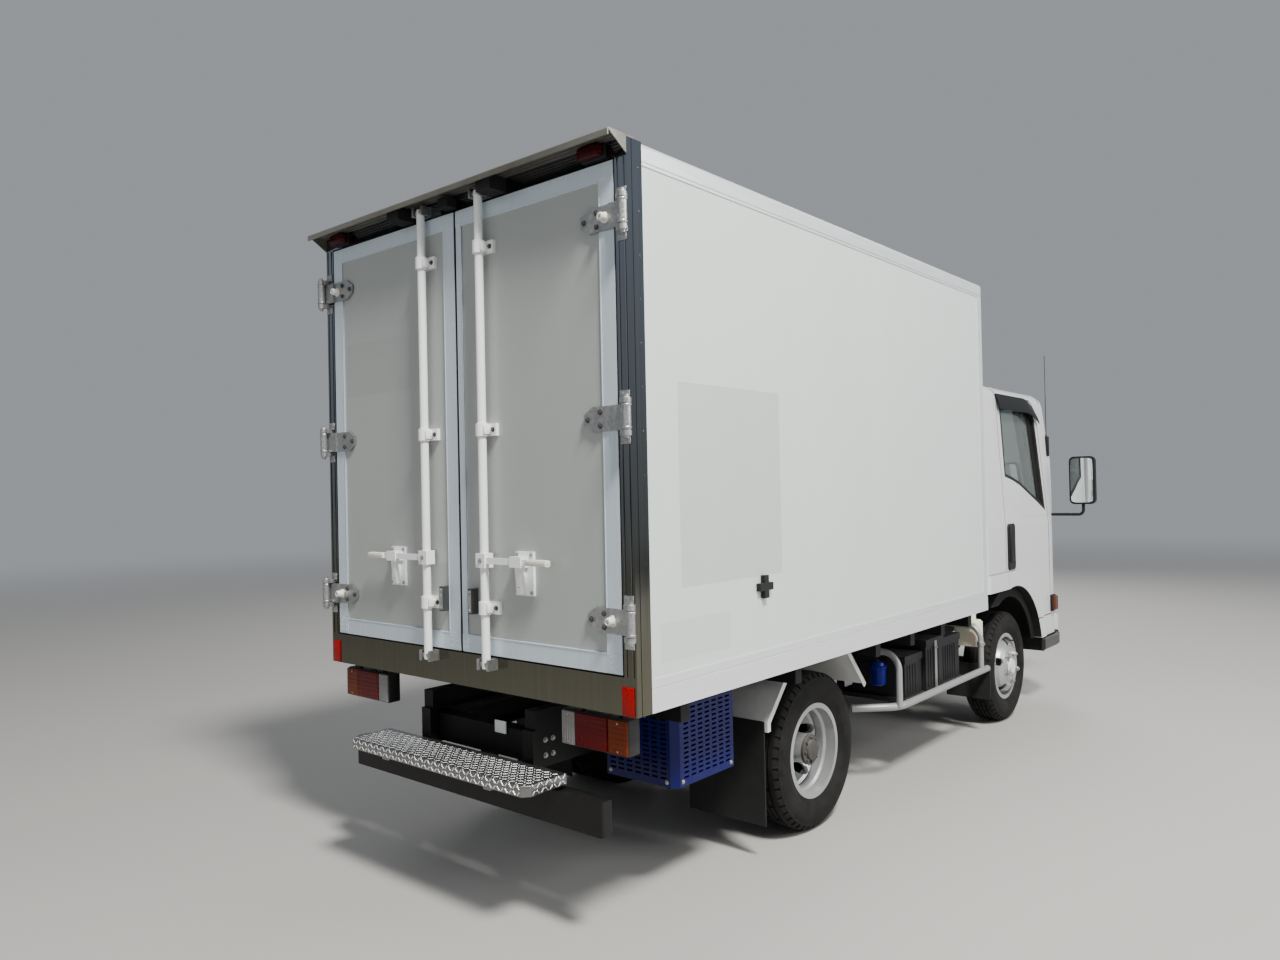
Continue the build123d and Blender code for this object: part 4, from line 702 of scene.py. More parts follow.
lens_red = lens("lens_red", (0.13, 0.0006, 0.001), 700)
lens_amber = lens("lens_amber", (0.19, 0.028, 0.001), 700)
lens_clear = lens("lens_clear", (0.3, 0.29, 0.28), 500)
lens_dark = lens("lens_dark", (0.06, 0.001, 0.003), 900)
housing = block("tail_lamp_housings", (0.031, 0.095), (0.545, 0.87), (0.684, 0.814), 0.008, 3)
sunk(housing, lambda middle, normal: normal.x < -0.95 and middle.z > 0.7, 0.003, 0.002)
for ear_y in (0.6, 0.78):
    joined(housing, block("lamp_ear", (0.04, 0.06), (ear_y, ear_y + 0.04), (0.812, 0.838)))
fit(both_sides(housing), housing_black)
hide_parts("rear_lamps")
for name, lens_finish, lens_ys in (("tail_lens_clear", lens_clear, (0.548, 0.613)),
        ("tail_lens_red", lens_red, (0.616, 0.774)), ("tail_lens_amber", lens_amber, (0.777, 0.867))):
    pane = block(name, (0.025, 0.036), lens_ys, (0.688, 0.81), 0.005, 3)
    fit(both_sides(pane), lens_finish)
lens_screw = turned("lens_screws", (at(0.025), 0.581, 0.7), (-1, 0, 0), (-1, 3.5, 1, 3.5, 1.4, 2.5),
    sides=10)
repeated(lens_screw, ((0, 0, 0.098), (0, 0.242, 0), (0, 0.242, 0.098)))
fit(both_sides(lens_screw), bolt_zinc)
marker_base = block("marker_lamp_bases", (-0.012, 0.0), (0.738, 0.852), (2.763, 2.812), 0.004)
fit(both_sides(marker_base), housing_black)
marker = block("marker_lamp_lenses", (-0.045, -0.01), (0.742, 0.848), (2.765, 2.81), 0.012, 4)
fit(both_sides(marker), lens_dark)

# The reflectors: pressed prism sheet in bright red on the rear frame's lower corners.
prism_red = Finish("prism_red", (0.3, 0.002, 0.002), roughness=0.3, specular_ior_level=0.2)
prisms = prism_red.cells(190)
prism_red.colour(prisms, (0.42, 0.002, 0.003), (0.16, 0.0006, 0.001))
prism_red.relief(prisms, 0.0006)
reflector = block("reflectors", (-0.0045, 0.0), (0.874, 0.929), (0.839, 0.939), 0.0015)
fit(both_sides(reflector), prism_red)

# The cab: pressed panels welded into one and sprayed white, with its doors hung on it, glazed in black
# rubber and trimmed in black plastic.
cab_back_x, cab_front_x = at(3.5), at(5.1)
half_cab = 0.8475
belt_z, roof_edge_z = 1.31, 2.245
side_lean = 0.0545 / (roof_edge_z - belt_z)
cab_white = Finish("cab_white", (0.76, 0.78, 0.77), roughness=0.28, coat_weight=0.7, coat_roughness=0.05)
fore, across, up = cab_white.axes()
low_dirt = cab_white.grade(up, 1, 0, 0.5, 0.95) * cab_white.blotches(0.45, 0.75, 6, 8, 0.7)
cab_middle = (cab_back_x + 0.72, 0, 1.62)
from_middle = cab_white.step("VectorMath", {"operation": "SUBTRACT"}, {0: cab_white.place, 1: cab_middle})
facing_out = cab_white.step("VectorMath", {"operation": "DOT_PRODUCT"},
    {0: cab_white.step("TexCoord", output="Normal"), 1: from_middle}, output="Value")
# The inside of the shell above 0.95 m is coloured near black and matt.
inner_side = (facing_out < 0.0) * (up > 0.95)
above_belt = (up - belt_z) * (up > belt_z)
# Painted shade: the walls of the door shut gaps are coloured near black, for the shade deep inside the gaps.
shut_gaps, gap_reach = (at(3.897), at(4.803)), 0.008
behind_skin = abs(across) + above_belt * side_lean < half_cab - 0.0015
painted_gap_shade = behind_skin * ((abs(fore - shut_gaps[0]) < gap_reach) + (abs(fore - shut_gaps[1]) < gap_reach))
dark_inside_and_gap_shade = inner_side.larger(painted_gap_shade)
paint_tone = cab_white.tint(low_dirt * 0.4, (0.58, 0.605, 0.595), (0.3, 0.275, 0.24))
cab_white.colour(dark_inside_and_gap_shade, paint_tone, (0.045, 0.045, 0.05))
cab_white.set("Roughness", low_dirt * 0.35 + 0.25 + dark_inside_and_gap_shade * 0.4)
cab_white.set("Coat Weight", 0.7 - dark_inside_and_gap_shade * 0.7)
cab_white.grain(0.0002, 160, 2)
cover(cab_white, "cab_shell", "cab_door_left", "cab_door_right")
clear_glass = Finish("clear_glass", (0.6, 0.67, 0.64), roughness=0.02, transmission_weight=0.92, ior=1.45)
cover(clear_glass, "cab_glass", "door_glass_left", "door_glass_right")
lamp_glass = Finish("lamp_glass", (0.8, 0.82, 0.83), roughness=0.06, transmission_weight=0.6, ior=1.45)
cover(lamp_glass, "headlamps")
trim_black = moulded("trim_black", (0.008, 0.008, 0.009), 0.42, 380, 0.0002, 0.03)
bumper_grey = moulded("bumper_grey", (0.62, 0.64, 0.64), 0.36)
bumper_lip_z = 0.492
bumper_grey.colour(bumper_grey.axes()[2] < bumper_lip_z, (0.62, 0.64, 0.64), (0.03, 0.03, 0.032))
cover(trim_black, "front_grille", "mirrors")
cover(bumper_grey, "front_bumper")

# The door furniture: black pull handles in their recesses, rubber round the glass with a run channel
# at its front, and a smoked visor stuck along the top of each window.
visor_smoke = Finish("visor_smoke", (0.003, 0.003, 0.0035), roughness=0.3, specular_ior_level=0.2)
visor_smoke.grain(0.0006, 4, 2)


def lean_in(height):
    """How far the cab's side stands from the middle at a height over the belt."""
    return half_cab - max(height - belt_z, 0) * side_lean


def leaned(piece):
    """Moves the points of a piece inwards as the cab's side leans in above the belt."""
    for point in piece.data.vertices:
        point.co.y -= half_cab - lean_in(point.co.z)
    return piece


def outline(name, corners, y):
    """A flat face at a distance from the middle, left selected in edit mode. Its corners hold distances
    forward of the box's rear face and heights."""
    piece = start(name, "circle", vertices=len(corners), radius=1, fill_type="NGON")
    for point, (x, z) in zip(piece.data.vertices, corners):
        point.co = (at(x), y, z)
    pick(piece, lambda middle, normal: True)
    return piece


def strip_round(name, corners, width, near_y, far_y):
    """A flat frame between an outline and the same one drawn in, between two distances from the middle."""
    piece = outline(name, corners, near_y)
    bpy.ops.mesh.inset(thickness=width, depth=0)
    bpy.ops.mesh.delete(type="FACE")
    edited(piece)
    modify(piece, "SOLIDIFY", thickness=abs(far_y - near_y), offset=0, use_even_offset=True)
    for point in piece.data.vertices:
        point.co.y += (far_y - near_y) / 2
    return leaned(rounded(piece, 0.002))


def sheet(name, corners, near_y, far_y, edge):
    """A flat moulding with the given outline, between two distances from the middle."""
    piece = outline(name, corners, far_y)
    bpy.ops.mesh.extrude_region()
    bpy.ops.transform.translate(value=(0, near_y - far_y, 0))
    bpy.ops.mesh.select_all(action="SELECT")
    outwards()
    return rounded(edited(piece), edge, 3)


window = ((3.955, 1.65), (3.955, 2.14), (4.585, 2.14), (4.665, 2.07), (4.75, 1.4), (4.6, 1.46), (4.24, 1.59),
    (4.1, 1.625))
bezel = ((3.918, 1.04), (3.918, 1.316), (3.934, 1.332), (4.036, 1.332), (4.052, 1.316), (4.052, 1.04),
    (4.036, 1.024), (3.934, 1.024))
visor_start, visor_end, visor_bend = at(3.893), at(4.712), at(4.44)
run_channel = ((4.5, 2.135), (4.582, 2.135), (4.66, 2.067), (4.744, 1.408), (4.665, 1.44), (4.572, 2.04))
for side, word in each_side:
    body = f"cab_door_{word}"
    rubber = strip_round(f"{body}_window_rubber", window, 0.022, half_cab - 0.024, half_cab + 0.0015)
    visor = start(f"{body}_visor", "grid", x_subdivisions=28, y_subdivisions=8, size=1)
    for point in visor.data.vertices:
        share, drop = point.co.x + 0.5, 0.5 - point.co.y
        x = visor_start + (visor_end - visor_start) * share
        bend = max((x - visor_bend) / (visor_end - visor_bend), 0) ** 2
        top, foot = roof_edge_z - 0.036 - 0.095 * bend, roof_edge_z - 0.142 - 0.07 * bend
        point.co = (x, half_cab + 0.0025 + 0.022 * sin(drop * pi / 2), top + (foot - top) * drop)
    modify(visor, "SOLIDIFY", thickness=0.003, offset=0)
    leaned(visor)
    pull = sheet(f"{body}_handle", bezel, half_cab - 0.0015, half_cab + 0.0105, 0.0045)
    grip = block("handle_grip", (3.934, 3.99), (half_cab + 0.001, half_cab + 0.0345), (1.074, 1.324), 0.01,
        4)
    for point in grip.data.vertices:
        point.co.y -= 0.014 * (abs(point.co.z - 1.198) / 0.12) ** 4
    joined(pull, grip)
    channel = leaned(sheet(f"{body}_run_channel", run_channel, half_cab - 0.0235, half_cab - 0.017, 0.001))
    lock = turned(f"{body}_lock", (at(4.022), half_cab + 0.0095, 1.072), (0, 1, 0),
        (0, 10, 2, 10, 3, 8, 2, 4), sides=20)
    plastics = [(piece, trim_black, "mirror_plastic") for piece in (channel, pull, lock)]
    for piece, finish, slot in ((rubber, black_rubber, "rubber"), (visor, visor_smoke, "mirror_plastic"),
            *plastics):
        if side < 0:
            name, left = piece.name, piece
            piece = copied(left, name + "_far", size=(1, -1, 1))
            bpy.data.objects.remove(left)
            piece.name = name
        fit(piece, finish, body)

# The side marker lamps: an amber lens in a black moulded frame on each front corner, and the rubber
# flaps bolted under the arches behind them.
marker_amber = Finish("marker_amber", (0.16, 0.045, 0.012), roughness=0.15, specular_ior_level=0.2)
flutes = (marker_amber.axes()[2] * 900).sine()
marker_amber.colour(abs(flutes), (0.14, 0.03, 0.008), (0.05, 0.01, 0.003))
marker_amber.relief(flutes, 0.0008)
marker_frame = block("side_marker_frames", (4.808, 4.892), (half_cab - 0.014, half_cab + 0.016),
    (0.652, 0.772), 0.007, 3)
fit(both_sides(marker_frame), trim_black, "cab")
marker_lens = block("side_marker_lenses", (4.813, 4.886), (half_cab + 0.004, half_cab + 0.034),
    (0.66, 0.764), 0.009, 4)
fit(both_sides(marker_lens), marker_amber, "cab")
flap_foot, flap_top = 0.385, 0.53
arch_flap = block("arch_flaps", (4.585, 4.591), (0.6, 0.853), (flap_foot, flap_top))
for point in arch_flap.data.vertices:
    point.co.x += 0.03 * ((flap_top - point.co.z) / (flap_top - flap_foot)) ** 2
fit(both_sides(arch_flap), black_rubber, "cab")

# The arch trims: black rubber lips pressed over the cab's edge round each front wheel, between the
# painted flare and the liner.
arch_radius = 0.5425
arch_lip = start("arch_trims", "grid", x_subdivisions=48, y_subdivisions=2, size=1)
for point in arch_lip.data.vertices:
    angle = radians(57.4 - 87.0 * point.co.x)
    point.co = (front_axle_x + arch_radius * cos(angle), 0.8315 + point.co.y * 0.056,
        axle_height + arch_radius * sin(angle))
modify(arch_lip, "SOLIDIFY", thickness=0.004, offset=0)
fit(both_sides(arch_lip), black_rubber, "cab")

# The aerial: a sprung steel rod that folds out of a black mount on the right windscreen pillar.
aerial_mount = block("aerial_mount", (4.89, 4.912), (-0.836, -0.796), (1.8, 1.95), 0.006, 3)
aerial_rod = turned("aerial_rod", (at(4.901), -0.818, 1.94), (0, 0, 1),
    (0, 5.5, 20, 5.5, 24, 3.2, 300, 2.8, 302, 2.2, 600, 2, 602, 3.4, 612, 3.4), sides=12)
fit(joined(aerial_mount, aerial_rod), trim_black, "cab")

# The mirrors: silvered glass set into the back of each black shell.
mirror_glass = Finish("mirror_glass", (0.78, 0.8, 0.81), metallic=1.0, roughness=0.03)
mirror_glass.grain(0.0008, 3, 1)
shell_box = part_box("mirrors")
pane = start("mirror_panes", "grid", x_subdivisions=16, y_subdivisions=24, size=1)
for point in pane.data.vertices:
    across_share, up_share = point.co.x * 2, point.co.y * 2
    rim_pull = 1 - 0.07 * (across_share ** 4) * (up_share ** 4)
    point.co = (shell_box[0][0] - 0.002 - 0.009 * (1 - 0.5 * across_share ** 2 - 0.5 * up_share ** 2),
        1.0675 + across_share * 0.076 * rim_pull, 1.615 + up_share * 0.162 * rim_pull)
modify(pane, "SOLIDIFY", thickness=0.003, offset=-1)
fit(both_sides(pane), mirror_glass, "cab")

# The pillar trims: grained dark mouldings clipped inside the windscreen pillars.
pillar_trim = start("pillar_trims", "cube", size=1)
edit(pillar_trim)
bpy.ops.mesh.subdivide(number_cuts=6)
edited(pillar_trim)
for point in pillar_trim.data.vertices:
    rise = point.co.z + 0.5
    z = 1.335 + 0.8 * rise
    point.co = (at(4.745) - 0.145 * rise ** 1.5 + point.co.x * (0.085 + 0.03 * rise),
        lean_in(z) - 0.092 + point.co.y * 0.05, z)
rounded(pillar_trim, 0.008, 3)
fit(both_sides(pillar_trim), trim_black, "cab")

# The wipers: pressed arms and rubber blades, parked along the foot of the windscreen.
for number, wiper_y in enumerate((-0.42, 0.18)):
    blade = block(f"wiper_blade_{number}", (5.088, 5.098), (wiper_y - 0.26, wiper_y + 0.26), (1.338, 1.352),
        0.002)
    hub = turned(f"wiper_hub_{number}", (cab_front_x - 0.03, wiper_y + 0.22, 1.262), (1, 0, 0),
        (0, 18, 22, 18, 26, 14), sides=20)
    arm = rounded(plain_block(f"wiper_arm_{number}", (-0.004, 0.004), (-0.125, 0.125), (-0.007, 0.007)),
        0.002)
    arm_place = Matrix.Translation((cab_front_x - 0.01, wiper_y + 0.11, 1.302))
    wiper = joined(blade, hub, placed(arm, arm_place @ Matrix.Rotation(radians(-20), 4, "X")))
    for point in wiper.data.vertices:
        point.co.x -= 0.055 * (point.co.y / 0.7) ** 2 + max(point.co.z - 1.3, 0) * 0.3
    fit(wiper, trim_black, "cab")

# The tail plate: a small blank of painted steel on the frame's last cross member.
plate_white = Finish("plate_white", (0.74, 0.75, 0.73), roughness=0.38)
plate_white.grain(0.0002, 90, 3)
plate_white.dull(plate_white.cloud(30, 4), 0.28, 0.2)
tail_plate = block("tail_plate", (0.1055, 0.1115), (-0.147, -0.08), (0.64, 0.69), 0.002)
fit(tail_plate, plate_white)

# The cabin: a grained dashboard with its instruments, a steering wheel in soft black plastic, and
# woven seats.
cabin_grey = moulded("cabin_grey", (0.07, 0.07, 0.075), 0.55, 300, 0.0003)
cover(cabin_grey, "dashboard")

rim_middle = Vector((cab_back_x + 0.94, -0.4, 1.47))
rim_lean = radians(35)
rim_axis = Vector((-sin(rim_lean), 0, cos(rim_lean)))
rim = start("steering_wheel_rim", "torus", major_radius=0.188, minor_radius=0.0145, major_segments=64,
    minor_segments=14)
rim_place = Matrix.Translation(rim_middle) @ rim_axis.to_track_quat("Z", "Y").to_matrix().to_4x4()
placed(rim, rim_place)
boss = turned("steering_wheel_boss", rim_middle - rim_axis * 0.045, rim_axis,
    (0, 30, 10, 55, 30, 64, 40, 58, 44, 40, 45, 12), sides=32)
column = turned("steering_wheel_column", rim_middle - rim_axis * 0.26, rim_axis,
    (0, 36, 100, 42, 200, 46, 215, 38), sides=24)
for spoke_turn in (0, 2 * pi / 3, -2 * pi / 3):
    spoke = rounded(plain_block("spoke", (-0.185, -0.045), (-0.016, 0.016), (-0.03, -0.018)), 0.005, 3)
    for point in spoke.data.vertices:
        point.co.z += 0.022 * min(max((-point.co.x - 0.05) / 0.13, 0), 1)
    joined(rim, placed(spoke, rim_place @ Matrix.Rotation(spoke_turn, 4, "Z")))
fit(joined(rim, boss, column), trim_black, "cab")
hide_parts("steering_wheel")

# The seats: foam under woven grey cloth, sewn into channels, on the platform over the engine. The
# driver's is on the right and a double one on the left, each place with its headrest.
seat_cloth = Finish("seat_cloth", (0.09, 0.09, 0.1), roughness=0.9)
threads = [(axis * 2600).sine() for axis in seat_cloth.axes()]
weave = threads[0] * threads[1] + threads[1] * threads[2] + threads[0] * threads[2]
seat_cloth.colour(seat_cloth.grade(weave, 0, 0.6, -1, 1), (0.075, 0.077, 0.085), (0.14, 0.14, 0.15))
seat_cloth.dull(seat_cloth.cloud(30, 4), 0.82, 0.1)
seat_cloth.relief(weave, 0.0004)
platform_z = 1.17
most_swell, swell_room = 0.008, 0.009
seam_reach, seam_depth = 0.016, 0.011


def pad(name, xs, ys, zs, thin, lines):
    """A foam pad: pulled-in sides, puffed out as cloth, then drawn in along its sewn lines."""
    middle = Vector(sum(pair) / 2 for pair in (xs, ys, zs))
    half = Vector(abs(pair[1] - pair[0]) / 2 - swell_room for pair in (xs, ys, zs))
    piece = start(name, "cube", size=2)
    edit(piece)
    bpy.ops.mesh.subdivide(number_cuts=15)
    edited(piece)
    for point in piece.data.vertices:
        share = point.co.copy()
        across = [(share[(n + 1) % 3], share[(n + 2) % 3]) for n in range(3)]
        drawn_in = [1 - 0.16 * a ** 4 * b ** 4 - 0.04 * a ** 6 - 0.04 * b ** 6 for a, b in across]
        point.co = middle + Vector(half[n] * share[n] * drawn_in[n] for n in range(3))
    modify(piece, "REMESH", mode="VOXEL", voxel_size=0.012)
    before = [point.co.copy() for point in piece.data.vertices]
    alone(piece)
    foam = piece.modifiers.new("foam", "CLOTH")
    foam.settings.use_pressure = True
    foam.settings.uniform_pressure_force = 4
    foam.settings.effector_weights.gravity = 0
    for number in range(1, 21):
        bpy.context.scene.frame_set(number)
    bpy.ops.object.modifier_apply(modifier=foam.name)
    bpy.context.scene.frame_set(1)
    for point, rest in zip(piece.data.vertices, before):
        move = point.co - rest
        if move.length > most_swell:
            point.co = rest + move * (most_swell / move.length)
    modify(piece, "SUBSURF", levels=1, render_levels=1)
    for point in piece.data.vertices:
        lift = (point.co[thin] - middle[thin]) / half[thin]
        for line in lines:
            near = max(1 - abs(point.co.y - line) / seam_reach, 0)
            point.co[thin] -= seam_depth * near ** 0.5 * min(max(lift * 2, 0), 1)
        sewn_edge = max(1 - abs(lift - 0.55) / 0.06, 0)
        for n in (0, 1, 2):
            if n != thin:
                point.co[n] -= 0.004 * sewn_edge * (point.co[n] - middle[n]) / half[n]
    fit(piece, seat_cloth, "cab", smooth=60)
    return piece


for seat_name, ys, sewn, headrests in (("driver", (-0.7, -0.19), (-0.325, -0.565), (-0.445,)),
        ("passenger", (-0.15, 0.7), (-0.045, 0.165, 0.275, 0.38, 0.595), (0.06, 0.48))):
    for part, xs, low, high, thin in (("cushion", (0.25, 0.76), 0, 0.13, 2),
            ("backrest", (0.112, 0.25), 0.02, 0.6, 0)):
        pad(f"{seat_name}_{part}", [cab_back_x + x for x in xs], ys,
            (platform_z + low, platform_z + high), thin, sewn)
    for number, headrest_y in enumerate(headrests):
        pad(f"{seat_name}_headrest_{number}", (cab_back_x + 0.13, cab_back_x + 0.232),
            (headrest_y - 0.13, headrest_y + 0.13), (platform_z + 0.622, platform_z + 0.77), 0, ())
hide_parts("seats")

# The box: insulated panels skinned in white glass fibre and edged in aluminium rails, riveted through
# their flanges. The right wall is a shade greyer in two rectangles that the sun has bleached less.
panel_white, panel_aged = (0.545, 0.6, 0.575), (0.48, 0.525, 0.5)


def panelled(name, sun_shades):
    """Gel coat with a fine even texture, streaked by rain, and a shade greyer inside each rectangle."""
    skin = Finish(name, panel_white, roughness=0.32, coat_weight=0.15)
    streak = skin.cloud(1.6, 6, 0.6, skin.stretched(3, 3, 0.5))
    tone = skin.tint(skin.grade(streak, 0, 0.35, 0.4, 0.8), panel_white, panel_aged)
    fore, across, up = skin.axes()
    for side, xs, zs, strength in sun_shades:
        inside = (across * side > 0) * (fore > xs[0]) * (fore < xs[1]) * (up > zs[0]) * (up < zs[1])
        tone = skin.tint(inside * strength, tone, (0.36, 0.4, 0.375))
    skin.set("Base Color", tone)
    skin.dull(streak, 0.28, 0.1)
    skin.grain(0.00025, 420, 3)
    return skin


wall_skin = panelled("wall_skin", ((-1, (at(0.26), at(0.944)), (1.254, 2.0), 0.55),
    (-1, (at(0.135), at(0.563)), (1.0, 1.14), 0.3)))
panel_skin = panelled("panel_skin", ())
cover(wall_skin, "box_wall_left", "box_wall_right")
cover(panel_skin, "box_front", "box_roof", "box_floor", "evaporator")
mill_aluminium = Finish("mill_aluminium", (0.8, 0.82, 0.84), metallic=0.55, roughness=0.35)
drawn = mill_aluminium.cloud(140, 3, 0.5, mill_aluminium.stretched(0.04, 1, 1))
mill_aluminium.colour(drawn, (0.72, 0.745, 0.77), (0.86, 0.875, 0.89))
mill_aluminium.dull(drawn, 0.27, 0.15)
cover(mill_aluminium, "box_rails")


def rivet(name, centre, along, radius=4.5):
    """The low domed head of a blind rivet in millimetres, with the hollow its stem leaves."""
    return turned(name, centre, along, (-0.5, radius, 0.6, radius, 1.6, radius * 0.7, 1.8, radius * 0.35,
        0.9, radius * 0.3), sides=12)


half_box = 0.94
rail_rivets = rivet("rail_rivets", (at(0.16), half_box - 0.0017, 0.868), (0, 1, 0))
in_row(rail_rivets, 16, (0.2, 0, 0))
fit(both_sides(rail_rivets), mill_aluminium)

# The stainless rear frame: bright pressings wrapped round the corners and riveted to the walls,
# coloured with a painted reflection, bluish above and dark olive low down.
stainless_sheet = Finish("stainless_sheet", (0.4, 0.39, 0.36), metallic=1.0, roughness=0.12)
brushed = stainless_sheet.cloud(90, 3, 0.5, stainless_sheet.stretched(1, 1, 0.02))
# Painted reflection: the steel is tinted bluish high up like a reflected sky, and dark olive low down like
# the reflected ground.
sky_to_ground_reflection = stainless_sheet.grade(stainless_sheet.axes()[2] + brushed * 0.3, 1, 0, 1.15, 2.75)
painted_sky_reflection = stainless_sheet.tint(brushed, (0.25, 0.28, 0.32), (0.31, 0.34, 0.38))
painted_ground_reflection = stainless_sheet.tint(brushed, (0.115, 0.11, 0.082), (0.15, 0.145, 0.115))
stainless_sheet.colour(sky_to_ground_reflection, painted_sky_reflection, painted_ground_reflection)
stainless_sheet.dull(brushed, 0.05, 0.05)
stainless_sheet.grain(0.0015, 3.5, 2)
cover(stainless_sheet, "rear_frame")
frame_rivets = rivet("frame_rivets", (at(0.062), half_box - 0.0017, 0.9), (0, 1, 0), 4)
in_row(frame_rivets, 13, (0, 0, 0.152))
fit(both_sides(frame_rivets), stainless_sheet)
ridge = block("frame_ridges", (-0.0035, 0.001), (0.896, 0.899), (0.972, 2.755), 0.001)
fit(both_sides(in_row(ridge, 2, (0, 0.03, 0))), stainless_sheet)

# The rain hood: painted aluminium angle over the doors, blotched by road film and coloured dark all
# over as painted shade, for the shadow on its underside.
hood_paint = Finish("hood_paint", (0.34, 0.32, 0.29), metallic=0.6, roughness=0.42)
film_and_shade = hood_paint.blotches(0.35, 0.7, 5, 7, 0.65, hood_paint.stretched(1, 0.3, 1))
# Painted shade: both colours are dark for the shade under the hood; the blotches between them are road film.
hood_paint.colour(film_and_shade, (0.25, 0.243, 0.215), (0.11, 0.1, 0.083))
hood_paint.dull(film_and_shade, 0.32, 0.25)
hood_paint.grain(0.0003, 200, 3)
cover(hood_paint, "rain_hood")
hood_ribs = block("hood_ribs", (-0.086, -0.08), (-0.93, 0.93), (2.8125, 2.8162), 0.001)
fit(in_row(hood_ribs, 4, (0.022, 0, 0)), hood_paint)

# The door stops under the hood: rubber blocks with two bolt wells each, and a steel catch between them.
well = turned("stop_wells", (at(-0.0845), 0.27, 2.79), (-1, 0, 0), (-1, 15, 2.5, 14, 3, 11.5, 0.6, 10, 0.5,
    2), sides=20)
fit(both_sides(in_row(well, 2, (0, 0.04, 0))), black_rubber)

# Inside the box: a ribbed aluminium floor for the air to pass under the load, ceiling lamps, and
# wire guards on the evaporator's fans.
floor_rib = block("floor_ribs", (0.09, 3.19), (-0.82, -0.81), (0.9625, 0.9675), 0.001, 1)
fit(in_row(floor_rib, 42, (0, 0.04, 0)), mill_aluminium)
lamp_cover = moulded("lamp_cover", (0.72, 0.73, 0.72), 0.3)
ceiling_lamp = turned("ceiling_lamps", (at(0.7), 0, 2.7308), (0, 0, -1),
    (0, 60, 10, 60, 12, 54, 22, 50, 28, 38, 30, 15), sides=32)
fit(in_row(ceiling_lamp, 3, (0.9, 0, 0)), lamp_cover)
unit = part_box("evaporator")
fan_x, fan_z = unit[0][0] - 0.022, unit[0][2] + 0.115
fan_guards = []
for fan_y in (0.27, -0.27):
    for radius in (0.025, 0.045, 0.065, 0.085, 0.1):
        fan_guards.append(settle(start("fan_guards", "torus", major_radius=radius, minor_radius=0.0016,
            major_segments=40, minor_segments=6, location=(fan_x, fan_y, fan_z), rotation=(0, pi / 2, 0))))
    fan_guards.append(turned("fan_hub", (fan_x + 0.002, fan_y, fan_z), (-1, 0, 0), (0, 20, 3, 20, 5, 14),
        sides=20))
fit(joined(*fan_guards), trim_black)

# The rear doors: insulated panels like the walls, framed by aluminium edging that is mitred, plated
# and riveted at its corners, with a rubber seal all round.
door_skin = Finish("door_skin", panel_aged, roughness=0.34, coat_weight=0.12)
door_y = {"left": (-0.007, 0.877), "right": (-0.021, -0.877)}
pocket_y = {"left": (0.063, 0.807), "right": (-0.056, -0.807)}
pocket_z = (1.047, 2.686)
fore, across, up = door_skin.axes()
pocket_rim = 0.0005
in_left = (across > pocket_y["left"][0] + pocket_rim) * (across < pocket_y["left"][1] - pocket_rim)
in_right = (across < pocket_y["right"][0] - pocket_rim) * (across > pocket_y["right"][1] + pocket_rim)
panel_mask = (in_left + in_right) * (up > pocket_z[0] + pocket_rim) * (up < pocket_z[1] - pocket_rim)
weather = door_skin.cloud(1.8, 6, 0.6, door_skin.stretched(3, 3, 0.5))
less_bleached = (across > 0.3) * (across < 0.8) * (up > 2.06) * (up < 2.3)
panel_tone = door_skin.tint(door_skin.grade(weather, 0, 0.4, 0.4, 0.8), (0.365, 0.385, 0.368),
    (0.32, 0.34, 0.325))
panel_tone = door_skin.tint(less_bleached * 0.25, panel_tone, (0.27, 0.28, 0.275))
edging_grain = door_skin.cloud(140, 3, 0.5, door_skin.stretched(1, 1, 0.04))
edging_shades = (0.52, 0.61, 0.67), (0.66, 0.74, 0.8)
door_skin.colour(panel_mask, door_skin.tint(edging_grain, *edging_shades), panel_tone)
door_skin.set("Metallic", 0.25 - panel_mask * 0.25)
door_skin.set("Roughness", weather * 0.1 + 0.25 + edging_grain * 0.06)
door_skin.grain(0.00025, 420, 3)
cover(door_skin, "box_door_left", "box_door_right")
edge_alloy = Finish("edge_alloy", (0.74, 0.77, 0.8), metallic=0.25, roughness=0.32)
edge_grain = edge_alloy.cloud(150, 3)
edge_alloy.colour(edge_grain, *edging_shades)
edge_alloy.dull(edge_grain, 0.25, 0.15)
edge_alloy.relief(edge_grain, 0.0002)
door_z = (0.977, 2.75)


def border(name, xs, ys, zs, wide, edge, steps):
    """Four bars just outside a rectangle, its first side nearest the middle."""
    out = wide if ys[1] > ys[0] else -wide
    spans = (((ys[0] - out, ys[0]), zs), ((ys[1], ys[1] + out), zs), (ys, (zs[0] - wide, zs[0])),
        (ys, (zs[1], zs[1] + wide)))
    return joined(*[block(name, xs, bar_ys, bar_zs, edge, steps) for bar_ys, bar_zs in spans])


for side, word in each_side:
    body = f"box_door_{word}"
    edging = border(f"{body}_edging", (-0.0018, 0.003), pocket_y[word], pocket_z, 0.004, 0.0006, 1)
    inner, outer = pocket_y[word]
    for plate_y, wide in ((inner, 0.036 if side < 0 else 0.066), (outer, -0.066)):
        for plate_z, tall in ((pocket_z[0], 0.066), (pocket_z[1], -0.06)):
            joined(edging, block("corner_plate", (-0.0012, 0.001), (plate_y - side * wide, plate_y),
                (plate_z - tall, plate_z), 0.0006, 1))
            for share_y in (0.25, 0.75):
                for share_z in (0.2, 0.5, 0.8):
                    centre = (at(-0.001), plate_y - side * wide * share_y, plate_z - tall * share_z)
                    joined(edging, rivet("corner_rivet", centre, (-1, 0, 0), 4))
    edge_rivets = rivet("edge_rivets", (at(-0.0002), door_y[word][0] + side * 0.014, 1.15), (-1, 0, 0), 3.5)
    fit(joined(edging, in_row(edge_rivets, 6, (0, 0, 0.285))), edge_alloy, body)
    seal = border(f"{body}_seal", (0.0012, 0.06), door_y[word], door_z, 0.0045, 0.0015, 2)
    fit(seal, black_rubber, body)

